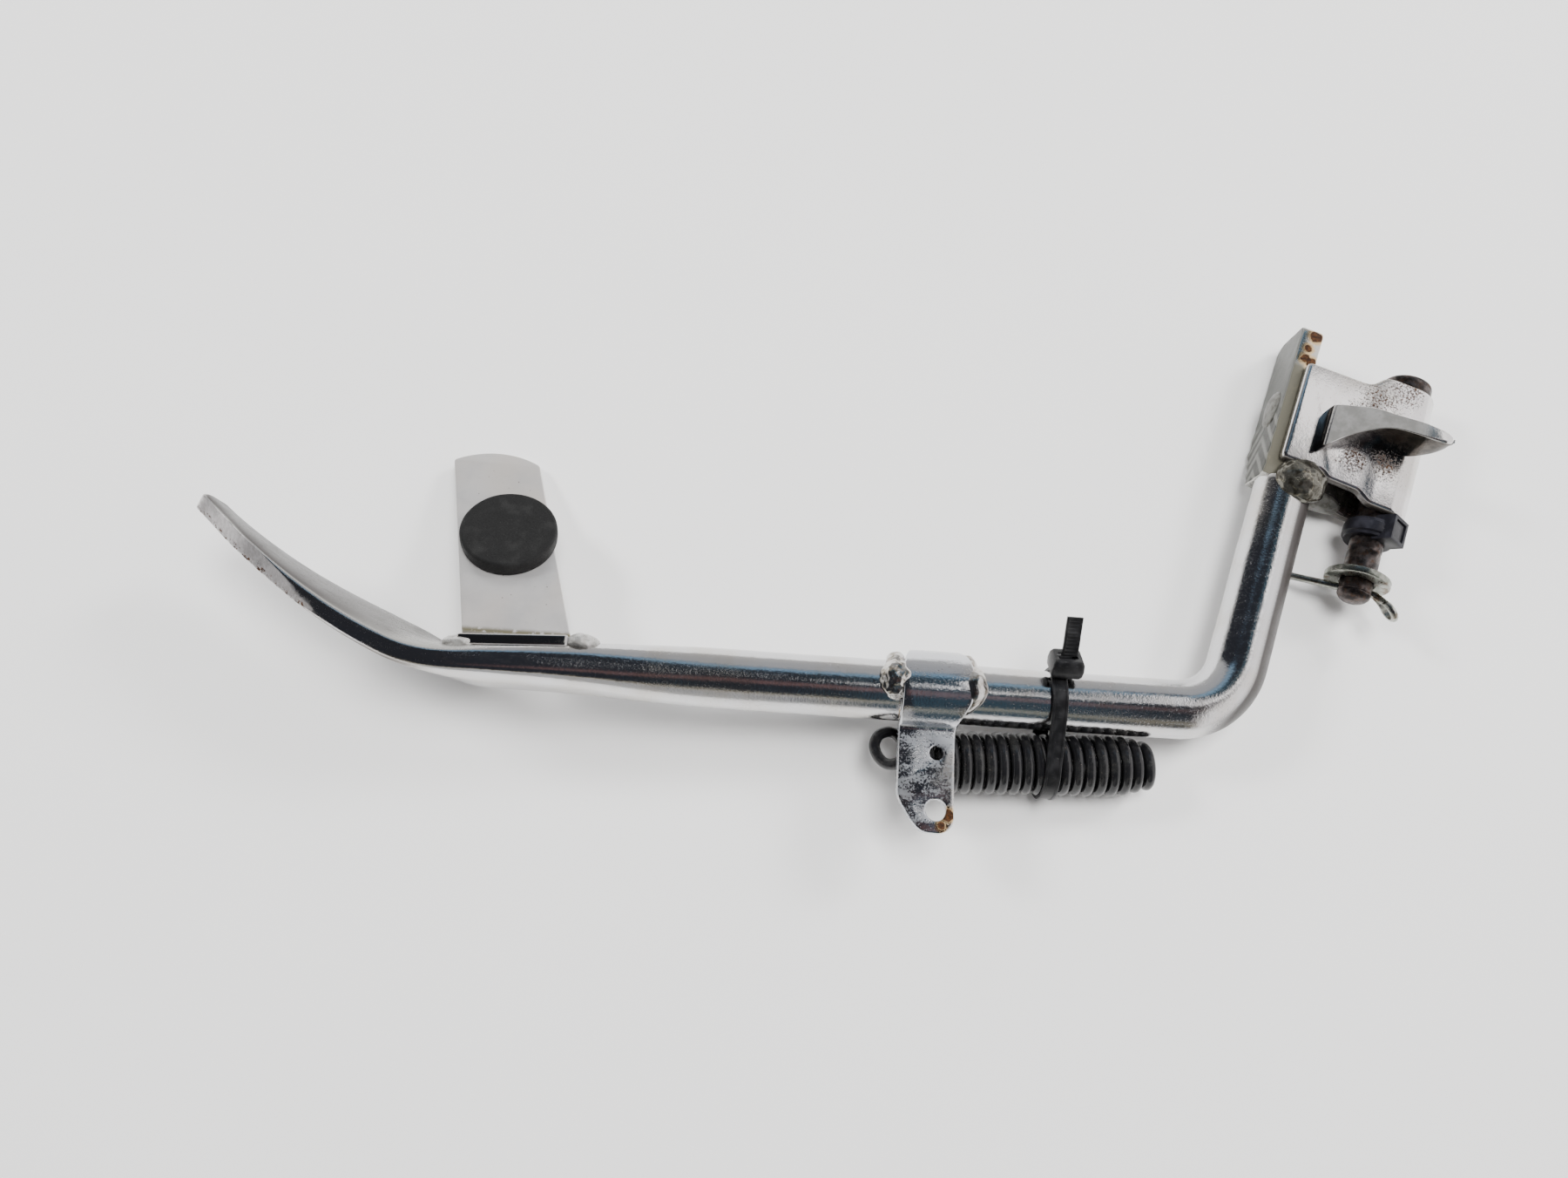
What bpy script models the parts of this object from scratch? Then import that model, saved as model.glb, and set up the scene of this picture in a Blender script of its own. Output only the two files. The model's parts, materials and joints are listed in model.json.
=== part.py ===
"""Motorcycle kickstand: a bent steel leg with a forged foot, a folded head on a clevis pin,
a rubber-tipped prop strip, and a return spring tied to the leg for storage.

Metres, +Z up.  The stand lies on its side, as on a bench: three points carry it, the end of
the prop strip, the tie under the spring and the head bar.

Two frames hold the parts.  The leg frame has its XY plane through the middle of the leg rod,
with the long run of the rod along -X.  The pivot frame lies in the same plane with its origin
on the pin axis, at the lower end of the knuckle: its Y runs along the pin towards the pin
head, its X away from the rod.
"""
import math

import bmesh
import bpy
from mathutils import Euler, Vector

MM = 0.001

# How the stand lies on the bench
REST_TILT = math.radians(3.66)
ORIGIN_X = 150.8 * MM
ORIGIN_Y = 20.66 * MM
ORIGIN_Z = 10.76 * MM

# Gap kept between touching pieces
GAP = 0.3 * MM

# Leg rod
ROD_RADIUS = 7.94 * MM
RUN_Y = -59.2 * MM
BEND_RADIUS = 18.5 * MM
UPRIGHT_HEADING = math.radians(73.3)
UPRIGHT_END = Vector((-27.1, 6.9)) * MM
FLATTEN_START_X = -180.0 * MM
FLATTEN_END_X = -262.0 * MM
FOOT_BEND_X = -243.0 * MM
FOOT_BEND_RADIUS = 45.0 * MM
FOOT_BEND_ANGLE = math.radians(20.0)
FOOT_SWEEP_RADIUS = 195.0 * MM
FOOT_SWEEP_ANGLE = math.radians(20.5)
FOOT_THICKNESS = 8.4 * MM
FOOT_TIP_THICKNESS = 5.0 * MM
FOOT_HEIGHT = 23.0 * MM
FOOT_OFFSET = 1.5 * MM
FOOT_OFFSET_START_X = -215.0 * MM
FOOT_TWIST = math.radians(20.0)
FOOT_TIP_TWIST = math.radians(5.0)
ROD_SIDES = 24

# Pivot frame: where it stands in the leg frame, and the pin it is built round
PIVOT_ORIGIN = Vector((-0.8, 0.25)) * MM
PIN_HEADING = math.radians(72.2)
PIN_RADIUS = 4.5 * MM
PIN_BORE_RADIUS = 4.58 * MM
PIN_SIDES = 40
PIN_HEAD_RADIUS = 6.8 * MM
PIN_HEAD_HEIGHT = 4.6 * MM
PIN_END_Y = -27.2 * MM
SPLIT_PIN_Y = -23.5 * MM

# Folded head plate
SHEET = 3.2 * MM
KNUCKLE_RADIUS = 8.0 * MM
KNUCKLE_LOW = -1.0 * MM
KNUCKLE_HIGH = 39.0 * MM
PLATE_LEFT = -32.4 * MM
PLATE_HIGH = 34.5 * MM
PLATE_LOW = 1.3 * MM
WEB_LEFT = -7.6 * MM

# Head bar
BAR_LEFT = -35.4 * MM
BAR_RIGHT = -29.0 * MM
BAR_LOW = -1.7 * MM
BAR_HIGH = 47.8 * MM
BAR_BOTTOM = -11.7 * MM
BAR_TOP = 4.5 * MM

# Prop strip and its rubber bumper
STRIP_THICKNESS = 2.9 * MM
STRIP_SLOPE = math.radians(23.5)
FLANGE_Y = -52.6 * MM
FLANGE_TOP = 8.4 * MM
FLANGE_SKEW = 0.075
SKEW_REACH = 50.0 * MM
BASE_LEFT = -250.6 * MM
BASE_RIGHT = -222.6 * MM
END_LEFT = -263.8 * MM
END_RIGHT = -239.2 * MM
STRIP_END_Y = 3.6 * MM
STRIP_END_Z = -23.9 * MM
BUMPER_POINT = Vector((-243.4, -22.6)) * MM
BUMPER_RADIUS = 13.2 * MM
BUMPER_HEIGHT = 4.5 * MM
BUMPER_STEM_RADIUS = 4.0 * MM

# Spring tab
TAB_THICKNESS = 3.0 * MM
TAB_LEFT = -136.0 * MM
TAB_RIGHT = -121.2 * MM
WRAP_RIGHT = -117.6 * MM
SMALL_HOLE = Vector((-125.9, -75.7)) * MM
SMALL_HOLE_RADIUS = 1.8 * MM
LARGE_HOLE = Vector((-125.7, -90.3)) * MM
LARGE_HOLE_RADIUS = 2.75 * MM

# Return spring
SPRING_Y = -76.9 * MM
SPRING_Z = -7.0 * MM
SPRING_SLOPE = 0.042
SPRING_WIRE_RADIUS = 1.5 * MM
SPRING_MEAN_RADIUS = 6.85 * MM
SPRING_PITCH = 3.32 * MM
SPRING_START_X = -133.5 * MM
SPRING_TURNS = 20.5

# Cable tie
TIE_X = -93.2 * MM
TIE_WIDTH = 4.2 * MM
TIE_THICKNESS = 1.0 * MM
TIE_HEAD_ANGLE = math.radians(48.0)
TIE_TAIL_ANGLE = math.radians(24.0)
TIE_HEAD_INNER = 9.9 * MM
TIE_HEAD_OUTER = 15.2 * MM

# Washer and plastic collar on the pin
WASHER_RADIUS = 8.75 * MM
WASHER_THICKNESS = 2.0 * MM
WASHER_LOW = -21.4 * MM
COLLAR_RADIUS = 7.1 * MM
COLLAR_HIGH = -3.4 * MM
COLLAR_LOW = -8.4 * MM

# The collar's box lug and its pocket, in a frame rolled about the pin: X runs out from the pin
COLLAR_ROLL = math.radians(58.0)
COLLAR_BOX_LOW = Vector((2.5, -9.1, -3.4)) * MM
COLLAR_BOX_HIGH = Vector((8.9, -1.6, 3.4)) * MM
POCKET_LOW = Vector((7.4, -8.1, -2.4)) * MM
POCKET_HIGH = Vector((12.0, -2.6, 2.4)) * MM

# Split pin, in a frame rolled about the clevis pin: X runs along its legs towards the eye
SPLIT_ROLL = math.radians(21.0)
SPLIT_WIRE_RADIUS = 0.55 * MM
SPLIT_LEG_OFFSET = 0.65 * MM
SPLIT_TIP = -22.0 * MM
SPLIT_HOLE_RADIUS = 1.45 * MM


def clear_scene():
    for item in list(bpy.data.objects):
        bpy.data.objects.remove(item, do_unlink=True)


def make_material(name, color, roughness, metallic):
    material = bpy.data.materials.new(name)
    material.use_nodes = True
    shader = material.node_tree.nodes["Principled BSDF"]
    shader.inputs["Base Color"].default_value = (*color, 1.0)
    shader.inputs["Roughness"].default_value = roughness
    shader.inputs["Metallic"].default_value = metallic
    return material


def make_empty(name, parent, location, rotation):
    empty = bpy.data.objects.new(name, None)
    bpy.context.scene.collection.objects.link(empty)
    empty.parent = parent
    empty.location = location
    empty.rotation_euler = rotation
    return empty


def finish_mesh(name, mesh_builder, material, parent):
    """Turn a bmesh into an object with outward faces and smooth round sides."""
    bmesh.ops.recalc_face_normals(mesh_builder, faces=mesh_builder.faces[:])
    mesh = bpy.data.meshes.new(name)
    mesh_builder.to_mesh(mesh)
    mesh_builder.free()
    mesh.shade_smooth()
    mesh.set_sharp_from_angle(angle=math.radians(35.0))
    item = bpy.data.objects.new(name, mesh)
    bpy.context.scene.collection.objects.link(item)
    item.parent = parent
    if material is not None:
        mesh.materials.append(material)
    return item


def loft(name, rings, material, parent, capped=True):
    """Skin a list of rings of points, all with the same number of points."""
    builder = bmesh.new()
    rows = [[builder.verts.new(point) for point in ring] for ring in rings]
    count = len(rows[0])
    pairs = list(zip(rows, rows[1:]))
    if not capped:
        pairs.append((rows[-1], rows[0]))
    for row_a, row_b in pairs:
        for i in range(count):
            j = (i + 1) % count
            builder.faces.new((row_a[i], row_a[j], row_b[j], row_b[i]))
    if capped:
        builder.faces.new(rows[0][::-1])
        builder.faces.new(rows[-1])
    return finish_mesh(name, builder, material, parent)


def prism(name, outline, place, low, high, material, parent):
    """Extrude a flat outline; place(u, v, depth) gives the point."""
    rings = [[place(u, v, depth) for u, v in outline] for depth in (low, high)]
    return loft(name, rings, material, parent)


def turned(name, profile, sides, place, material, parent):
    """Revolve (radius, height) pairs that start and end on the axis."""
    builder = bmesh.new()
    first = builder.verts.new(place(0.0, 0.0, profile[0][1]))
    last = builder.verts.new(place(0.0, 0.0, profile[-1][1]))
    rows = []
    for radius, height in profile[1:-1]:
        row = []
        for i in range(sides):
            angle = 2.0 * math.pi * i / sides
            point = place(radius * math.cos(angle), radius * math.sin(angle), height)
            row.append(builder.verts.new(point))
        rows.append(row)
    for row_a, row_b in zip(rows, rows[1:]):
        for i in range(sides):
            j = (i + 1) % sides
            builder.faces.new((row_a[i], row_a[j], row_b[j], row_b[i]))
    for i in range(sides):
        j = (i + 1) % sides
        builder.faces.new((first, rows[0][j], rows[0][i]))
        builder.faces.new((last, rows[-1][i], rows[-1][j]))
    return finish_mesh(name, builder, material, parent)


def turned_ring(name, profile, sides, place, material, parent):
    """Revolve a closed (radius, height) outline that stays off the axis."""
    rings = []
    for i in range(sides):
        angle = 2.0 * math.pi * i / sides
        rings.append([place(r * math.cos(angle), r * math.sin(angle), h) for r, h in profile])
    return loft(name, rings, material, parent, capped=False)


def along_z(x, y, height):
    return Vector((x, y, height))


def along_y(x, y, height):
    return Vector((x, height, y))


def arc_points(center, radius, start, end, count):
    """Points on an arc, both ends included; angles in degrees."""
    points = []
    for i in range(count + 1):
        angle = math.radians(start + (end - start) * i / count)
        points.append((center[0] + radius * math.cos(angle), center[1] + radius * math.sin(angle)))
    return points


def smooth_step(value):
    value = min(max(value, 0.0), 1.0)
    return value * value * (3.0 - 2.0 * value)


def tube_rings(points, radii, sides):
    """Rings round a path, carried along it without twisting."""
    count = len(points)
    tangents = []
    for i in range(count):
        before = points[max(i - 1, 0)]
        after = points[min(i + 1, count - 1)]
        tangents.append((after - before).normalized())
    side = tangents[0].orthogonal().normalized()
    rings = []
    for point, tangent, radius in zip(points, tangents, radii):
        side = (side - tangent * side.dot(tangent)).normalized()
        other = tangent.cross(side)
        ring = []
        for i in range(sides):
            angle = 2.0 * math.pi * i / sides
            ring.append(point + radius * (side * math.cos(angle) + other * math.sin(angle)))
        rings.append(ring)
    return rings


def sheet_rings(path, rails, thickness):
    """Four-cornered rings of a bent sheet.

    path is a list of (first, second) coordinates of its middle line, and rails holds
    (low, high) across it; the rings come back as (across, first, second) corners.
    """
    rings = []
    for i, ((first, second), (low, high)) in enumerate(zip(path, rails)):
        before = Vector(path[max(i - 1, 0)])
        after = Vector(path[min(i + 1, len(path) - 1)])
        run = (after - before).normalized()
        normal = Vector((-run.y, run.x)) * (thickness / 2.0)
        ring = []
        for across, sign in ((low, 1.0), (high, 1.0), (high, -1.0), (low, -1.0)):
            ring.append(Vector((across, first + sign * normal.x, second + sign * normal.y)))
        rings.append(ring)
    return rings


def tool_profile(radius, low, high):
    """Profile of a plain round cutter."""
    return [(0.0, low), (radius, low), (radius, high), (0.0, high)]


def cutter(item):
    item.hide_render = True
    item.display_type = "WIRE"
    return item


def apply_boolean(item, tool, operation, solver="EXACT"):
    modifier = item.modifiers.new(operation.lower(), "BOOLEAN")
    modifier.operation = operation
    modifier.solver = solver
    modifier.object = tool
    return modifier


def box_tool(name, parent, low, high):
    """A plain box between two corners, used to cut its neighbours."""
    outline = [(low[0], low[1]), (high[0], low[1]), (high[0], high[1]), (low[0], high[1])]
    return cutter(prism(name, outline, along_z, low[2], high[2], None, parent))


def rod_centre_line():
    """Stations of the leg rod: middle point, heading in the plane, distance along it."""
    heading = Vector((math.cos(UPRIGHT_HEADING), math.sin(UPRIGHT_HEADING)))
    drop = (UPRIGHT_END.y - RUN_Y) / heading.y
    corner = UPRIGHT_END - heading * drop
    tangent = BEND_RADIUS * math.tan(UPRIGHT_HEADING / 2.0)
    center = Vector((corner.x - tangent, RUN_Y + BEND_RADIUS))
    stations = [(UPRIGHT_END.copy(), UPRIGHT_HEADING + math.pi)]
    stations.append((corner + heading * (tangent + 20.0 * MM), UPRIGHT_HEADING + math.pi))
    bend_steps = 10
    for i in range(bend_steps + 1):
        turn = UPRIGHT_HEADING * (1.0 - i / bend_steps)
        offset = Vector((math.sin(turn), -math.cos(turn))) * BEND_RADIUS
        stations.append((center + offset, turn + math.pi))
    run_steps = [-100.0, -145.0, -180.0, -191.0, -202.0, -210.0, -218.0, -226.0, -234.0]
    for x in run_steps:
        stations.append((Vector((x * MM, RUN_Y)), math.pi))
    stations.append((Vector((FOOT_BEND_X, RUN_Y)), math.pi))
    point = stations[-1][0].copy()
    turn = 0.0
    for radius, angle, steps in ((FOOT_BEND_RADIUS, FOOT_BEND_ANGLE, 4),
                                 (FOOT_SWEEP_RADIUS, FOOT_SWEEP_ANGLE, 8)):
        for _ in range(steps):
            step = angle / steps
            chord = 2.0 * radius * math.sin(step / 2.0)
            middle = turn + step / 2.0
            point = point + Vector((-math.cos(middle), math.sin(middle))) * chord
            turn += step
            stations.append((point.copy(), math.pi - turn))
    return stations


def rod_section(x, foot_share, tip_share):
    """Thickness in the plane, height across it, squareness and twist of the rod at x."""
    flat = smooth_step((x - FLATTEN_START_X) / (FLATTEN_END_X - FLATTEN_START_X))
    round_size = 2.0 * ROD_RADIUS
    thickness = round_size + (FOOT_THICKNESS - round_size) * flat
    thickness += (FOOT_TIP_THICKNESS - FOOT_THICKNESS) * foot_share
    height = round_size + (FOOT_HEIGHT - round_size) * flat
    height *= 1.0 - 0.32 * tip_share
    power = 2.0 + 1.6 * flat
    twist = FOOT_TWIST * smooth_step(foot_share * 3.2)
    twist += (FOOT_TIP_TWIST - FOOT_TWIST) * smooth_step(foot_share * 1.6 - 0.6)
    return thickness, height, power, twist


def rod_rings(grow):
    """Rings of the leg rod, grown outwards by grow."""
    stations = rod_centre_line()
    start_x = FOOT_BEND_X
    end_x = stations[-1][0].x
    rings = []
    for point, heading in stations:
        foot_share = min(max((point.x - start_x) / (end_x - start_x), 0.0), 1.0)
        tip_share = smooth_step((foot_share - 0.8) / 0.2)
        thickness, height, power, twist = rod_section(point.x, foot_share, tip_share)
        offset = smooth_step((point.x - FOOT_OFFSET_START_X) / (FLATTEN_END_X - FOOT_OFFSET_START_X))
        across = Vector((-math.sin(heading), math.cos(heading), 0.0))
        middle = Vector((point.x, point.y, 0.0)) + across * (FOOT_OFFSET * offset)
        ring = []
        for i in range(ROD_SIDES):
            angle = 2.0 * math.pi * (i + 0.5) / ROD_SIDES
            cos_a = math.cos(angle)
            sin_a = math.sin(angle)
            u = math.copysign(abs(cos_a) ** (2.0 / power), cos_a) * (thickness / 2.0 + grow)
            v = math.copysign(abs(sin_a) ** (2.0 / power), sin_a) * (height / 2.0 + grow)
            turned_u = u * math.cos(twist) + v * math.sin(twist)
            turned_v = v * math.cos(twist) - u * math.sin(twist)
            ring.append(middle + across * turned_u + Vector((0.0, 0.0, turned_v)))
        rings.append(ring)
    return rings


def make_leg_rod(parent, material):
    return loft("leg_rod", rod_rings(0.0), material, parent)


def make_head_bar(parent, material):
    """Flat bar on edge, its far corners rounded."""
    low_round = 4.0 * MM
    top_round = 2.5 * MM
    outline = [(BAR_LOW, BAR_BOTTOM + 4.5 * MM), (BAR_LOW + 11.0 * MM, BAR_BOTTOM)]
    outline += arc_points((BAR_HIGH - low_round, BAR_BOTTOM + low_round), low_round, -90.0, 0.0, 6)
    outline += arc_points((BAR_HIGH - top_round, BAR_TOP - top_round), top_round, 0.0, 90.0, 4)
    outline.append((BAR_LOW, BAR_TOP))

    def place(u, v, depth):
        return Vector((depth, u, v))

    return prism("head_bar", outline, place, BAR_LEFT, BAR_RIGHT, material, parent)


def make_head_plate(parent, material):
    """Sheet folded round the pin: top plate, knuckle, bottom plate and a web beside the bore."""
    inner = KNUCKLE_RADIUS - SHEET
    bottom_left = BAR_RIGHT + GAP
    outline = [(PLATE_LEFT, inner), (PLATE_LEFT, KNUCKLE_RADIUS)]
    outline += arc_points((0.0, 0.0), KNUCKLE_RADIUS, 90.0, -90.0, 20)
    outline += [(bottom_left, -KNUCKLE_RADIUS), (bottom_left, -inner)]
    outline += [(WEB_LEFT, -inner), (WEB_LEFT, inner)]

    def place(u, v, depth):
        return Vector((u, depth, v))

    plate = prism("head_plate", outline, place, KNUCKLE_LOW, KNUCKLE_HIGH, material, parent)
    bore_profile = tool_profile(PIN_BORE_RADIUS, KNUCKLE_LOW - 5.0 * MM, KNUCKLE_HIGH + 5.0 * MM)
    bore = cutter(turned("bore_tool", bore_profile, PIN_SIDES, along_y, None, parent))
    apply_boolean(plate, bore, "DIFFERENCE")
    reach = 12.0 * MM
    upper = [(PLATE_LEFT - reach, PLATE_HIGH), (-13.5 * MM, PLATE_HIGH), (-9.0 * MM, KNUCKLE_HIGH),
             (-9.0 * MM, KNUCKLE_HIGH + reach), (PLATE_LEFT - reach, KNUCKLE_HIGH + reach)]
    lower = [(PLATE_LEFT - reach, KNUCKLE_LOW - reach), (-6.2 * MM, KNUCKLE_LOW - reach),
             (-6.2 * MM, KNUCKLE_LOW), (-8.6 * MM, PLATE_LOW), (-18.5 * MM, PLATE_LOW + 0.4 * MM),
             (-20.5 * MM, 3.2 * MM), (PLATE_LEFT - reach, 3.2 * MM)]
    for name, shape in (("upper_notch_tool", upper), ("lower_notch_tool", lower)):
        tool = cutter(prism(name, shape, along_z, -reach, reach, None, parent))
        apply_boolean(plate, tool, "DIFFERENCE")
    return plate


def make_stop_lug(parent, material):
    """Solid lug: broad and low on the left, a narrow rounded nose over the knuckle."""
    base = KNUCKLE_RADIUS + GAP
    stations = [
        (-23.9, 8.0, 21.3, base / MM, 13.4),
        (-19.0, 12.4, 22.2, base / MM, 15.0),
        (-13.8, 15.6, 22.4, base / MM, 17.0),
        (-9.2, 17.2, 21.6, base / MM, 18.8),
        (-2.9, 16.8, 21.0, base / MM, 20.8),
        (0.6, 16.4, 20.6, base / MM + 0.6, 21.6),
        (3.8, 16.4, 20.2, 13.0, 22.0),
        (5.8, 17.0, 19.6, 17.0, 21.8),
        (6.6, 17.8, 18.9, 18.8, 21.0),
    ]
    rings = []
    for t, near, far, low, high in stations:
        corners = ((near, low), (far, low), (far, high), (near, high))
        rings.append([Vector((t, s, z)) * MM for s, z in corners])
    return loft("stop_lug", rings, material, parent)


def make_clevis_pin(parent, material):
    chamfer = 0.7 * MM
    dome = 1.6 * MM
    head_low = KNUCKLE_HIGH + GAP
    head_high = head_low + PIN_HEAD_HEIGHT
    profile = [(0.0, PIN_END_Y), (PIN_RADIUS * 0.45, PIN_END_Y + dome * 0.1),
               (PIN_RADIUS * 0.8, PIN_END_Y + dome * 0.45), (PIN_RADIUS, PIN_END_Y + dome),
               (PIN_RADIUS, head_low), (PIN_HEAD_RADIUS, head_low),
               (PIN_HEAD_RADIUS, head_high - chamfer), (PIN_HEAD_RADIUS - chamfer, head_high),
               (0.0, head_high)]
    pin = turned("clevis_pin", profile, PIN_SIDES, along_y, material, parent)
    return pin


def make_washer(parent, material):
    chamfer = 0.3 * MM
    inner = 4.75 * MM
    top = WASHER_LOW + WASHER_THICKNESS
    profile = [(inner, WASHER_LOW), (WASHER_RADIUS - chamfer, WASHER_LOW),
               (WASHER_RADIUS, WASHER_LOW + chamfer), (WASHER_RADIUS, top - chamfer),
               (WASHER_RADIUS - chamfer, top), (inner, top)]
    return turned_ring("flat_washer", profile, 36, along_y, material, parent)


def make_split_pin(pin, parent, material):
    """Two straight legs through the pin and an eye bent towards the pin's end."""
    path = []
    for sign in (1.0, -1.0):
        leg = [(SPLIT_TIP + (0.0 if sign > 0 else 1.2 * MM), 0.0), (-8.0 * MM, 0.0), (3.0 * MM, 0.0),
               (5.2 * MM, 0.0), (6.3 * MM, -0.6 * MM)]
        points = [Vector((t, s, sign * SPLIT_LEG_OFFSET)) for t, s in leg]
        path.append(points)
    eye_middle = Vector((9.4 * MM, -3.4 * MM))
    out = Vector((0.72, -0.69)).normalized()
    eye = []
    for i in range(9):
        angle = math.radians(-148.0 + 296.0 * i / 8)
        radial = eye_middle + out * (1.75 * MM * math.cos(angle))
        eye.append(Vector((radial.x, radial.y, -1.75 * MM * math.sin(angle))))
    points = path[0] + eye + path[1][::-1]
    rings = tube_rings(points, [SPLIT_WIRE_RADIUS] * len(points), 8)
    item = loft("split_pin", rings, material, parent)
    item.location = (0.0, SPLIT_PIN_Y, 0.0)
    item.rotation_euler = (0.0, -SPLIT_ROLL, 0.0)
    reach = 9.0 * MM
    hole_profile = tool_profile(SPLIT_HOLE_RADIUS, -reach, reach)

    def along_x(x, y, height):
        return Vector((height, x, y))

    hole = cutter(turned("split_hole_tool", hole_profile, 16, along_x, None, parent))
    hole.location = item.location
    hole.rotation_euler = item.rotation_euler
    apply_boolean(pin, hole, "DIFFERENCE")
    return item


def make_collar(parent, material):
    """Plastic ring with a box lug beside it and a pocket in the lug's outer face."""
    profile = tool_profile(COLLAR_RADIUS, COLLAR_LOW, COLLAR_HIGH)
    collar = turned("pin_collar", profile, 32, along_y, material, parent)
    lug = box_tool("collar_lug_tool", parent, COLLAR_BOX_LOW, COLLAR_BOX_HIGH)
    lug.rotation_euler = (0.0, -COLLAR_ROLL, 0.0)
    apply_boolean(collar, lug, "UNION")
    reach = 14.0 * MM
    bore_profile = tool_profile(PIN_BORE_RADIUS, -reach, reach)
    bore = cutter(turned("collar_bore_tool", bore_profile, PIN_SIDES, along_y, None, parent))
    apply_boolean(collar, bore, "DIFFERENCE")
    pocket = box_tool("collar_pocket_tool", parent, POCKET_LOW, POCKET_HIGH)
    pocket.rotation_euler = (0.0, -COLLAR_ROLL, 0.0)
    apply_boolean(collar, pocket, "DIFFERENCE", "MANIFOLD")
    return collar


def make_collar_magnet(parent, material):
    """Small block that sits in the collar's pocket."""
    low = POCKET_LOW + Vector((GAP, GAP, GAP))
    high = Vector((COLLAR_BOX_HIGH.x - 0.5 * MM, POCKET_HIGH.y - GAP, POCKET_HIGH.z - GAP))
    outline = [(low.x, low.y), (high.x, low.y), (high.x, high.y), (low.x, high.y)]
    magnet = prism("collar_magnet", outline, along_z, low.z, high.z, material, parent)
    magnet.rotation_euler = (0.0, -COLLAR_ROLL, 0.0)
    return magnet


def strip_height(y):
    """Height of the strip's middle line at y."""
    return STRIP_END_Z + (STRIP_END_Y - y) * math.tan(STRIP_SLOPE)


def strip_rings(grow):
    """Flange along the leg's taper, a bend, and the long sloping strip with a rounded end."""
    bend_y = FLANGE_Y + 3.2 * MM
    bend_z = strip_height(bend_y)
    path = [(FLANGE_Y, FLANGE_TOP + grow), (FLANGE_Y, 6.5 * MM), (FLANGE_Y + 0.15 * MM, bend_z + 2.6 * MM),
            (FLANGE_Y + 1.2 * MM, bend_z + 0.9 * MM), (bend_y, bend_z)]
    rails = [(BASE_LEFT - grow, BASE_RIGHT + grow)] * 5
    steps = 4
    for i in range(1, steps + 1):
        share = i / steps
        y = bend_y + (STRIP_END_Y - bend_y) * share
        path.append((y, strip_height(y)))
        rails.append((BASE_LEFT + (END_LEFT - BASE_LEFT) * share,
                      BASE_RIGHT + (END_RIGHT - BASE_RIGHT) * share))
    half = (END_RIGHT - END_LEFT) / 2.0
    rise = 3.4 * MM
    radius = (half * half + rise * rise) / (2.0 * rise)
    middle = (END_LEFT + END_RIGHT) / 2.0
    for share in (0.35, 0.65, 0.87, 0.98):
        out = rise * share
        width = math.sqrt(radius ** 2 - (radius - rise + out) ** 2)
        y = STRIP_END_Y + out
        shift = -0.25 * out
        path.append((y, strip_height(y)))
        rails.append((middle + shift - width, middle + shift + width))
    rings = sheet_rings(path, rails, STRIP_THICKNESS + 2.0 * grow)
    base_middle = (BASE_LEFT + BASE_RIGHT) / 2.0
    for ring in rings:
        for corner in ring:
            skew = FLANGE_SKEW * (1.0 - smooth_step((corner.y - FLANGE_Y) / SKEW_REACH))
            corner.y += skew * (corner.x - base_middle)
    return rings


def make_bumper_strip(parent, material):
    strip = loft("bumper_strip", strip_rings(0.0), material, parent)
    reach = 10.0 * MM
    profile = tool_profile(BUMPER_STEM_RADIUS + GAP, -reach, reach)
    hole = cutter(turned("stem_hole_tool", profile, 24, along_z, None, parent))
    hole.location, hole.rotation_euler = bumper_place()
    apply_boolean(strip, hole, "DIFFERENCE")
    return strip


def bumper_place():
    """Where the bumper's axis meets the strip's upper face, and how the axis leans."""
    lift = STRIP_THICKNESS / 2.0
    y = BUMPER_POINT.y + lift * math.sin(STRIP_SLOPE)
    z = strip_height(BUMPER_POINT.y) + lift * math.cos(STRIP_SLOPE)
    return Vector((BUMPER_POINT.x, y, z)), Euler((-STRIP_SLOPE, 0.0, 0.0))


def make_rubber_bumper(parent, material):
    """Rubber button: a thick disc, a stem through the strip and a bulb that holds it there."""
    chamfer = 0.6 * MM
    under = -STRIP_THICKNESS - GAP
    profile = [(0.0, BUMPER_HEIGHT), (BUMPER_RADIUS - chamfer, BUMPER_HEIGHT),
               (BUMPER_RADIUS, BUMPER_HEIGHT - chamfer), (BUMPER_RADIUS, GAP),
               (BUMPER_STEM_RADIUS, GAP), (BUMPER_STEM_RADIUS, under), (5.6 * MM, under),
               (5.2 * MM, under - 2.0 * MM), (3.0 * MM, under - 3.2 * MM), (0.0, under - 3.4 * MM)]
    bumper = turned("rubber_bumper", profile, 32, along_z, material, parent)
    bumper.location, bumper.rotation_euler = bumper_place()
    return bumper


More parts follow.
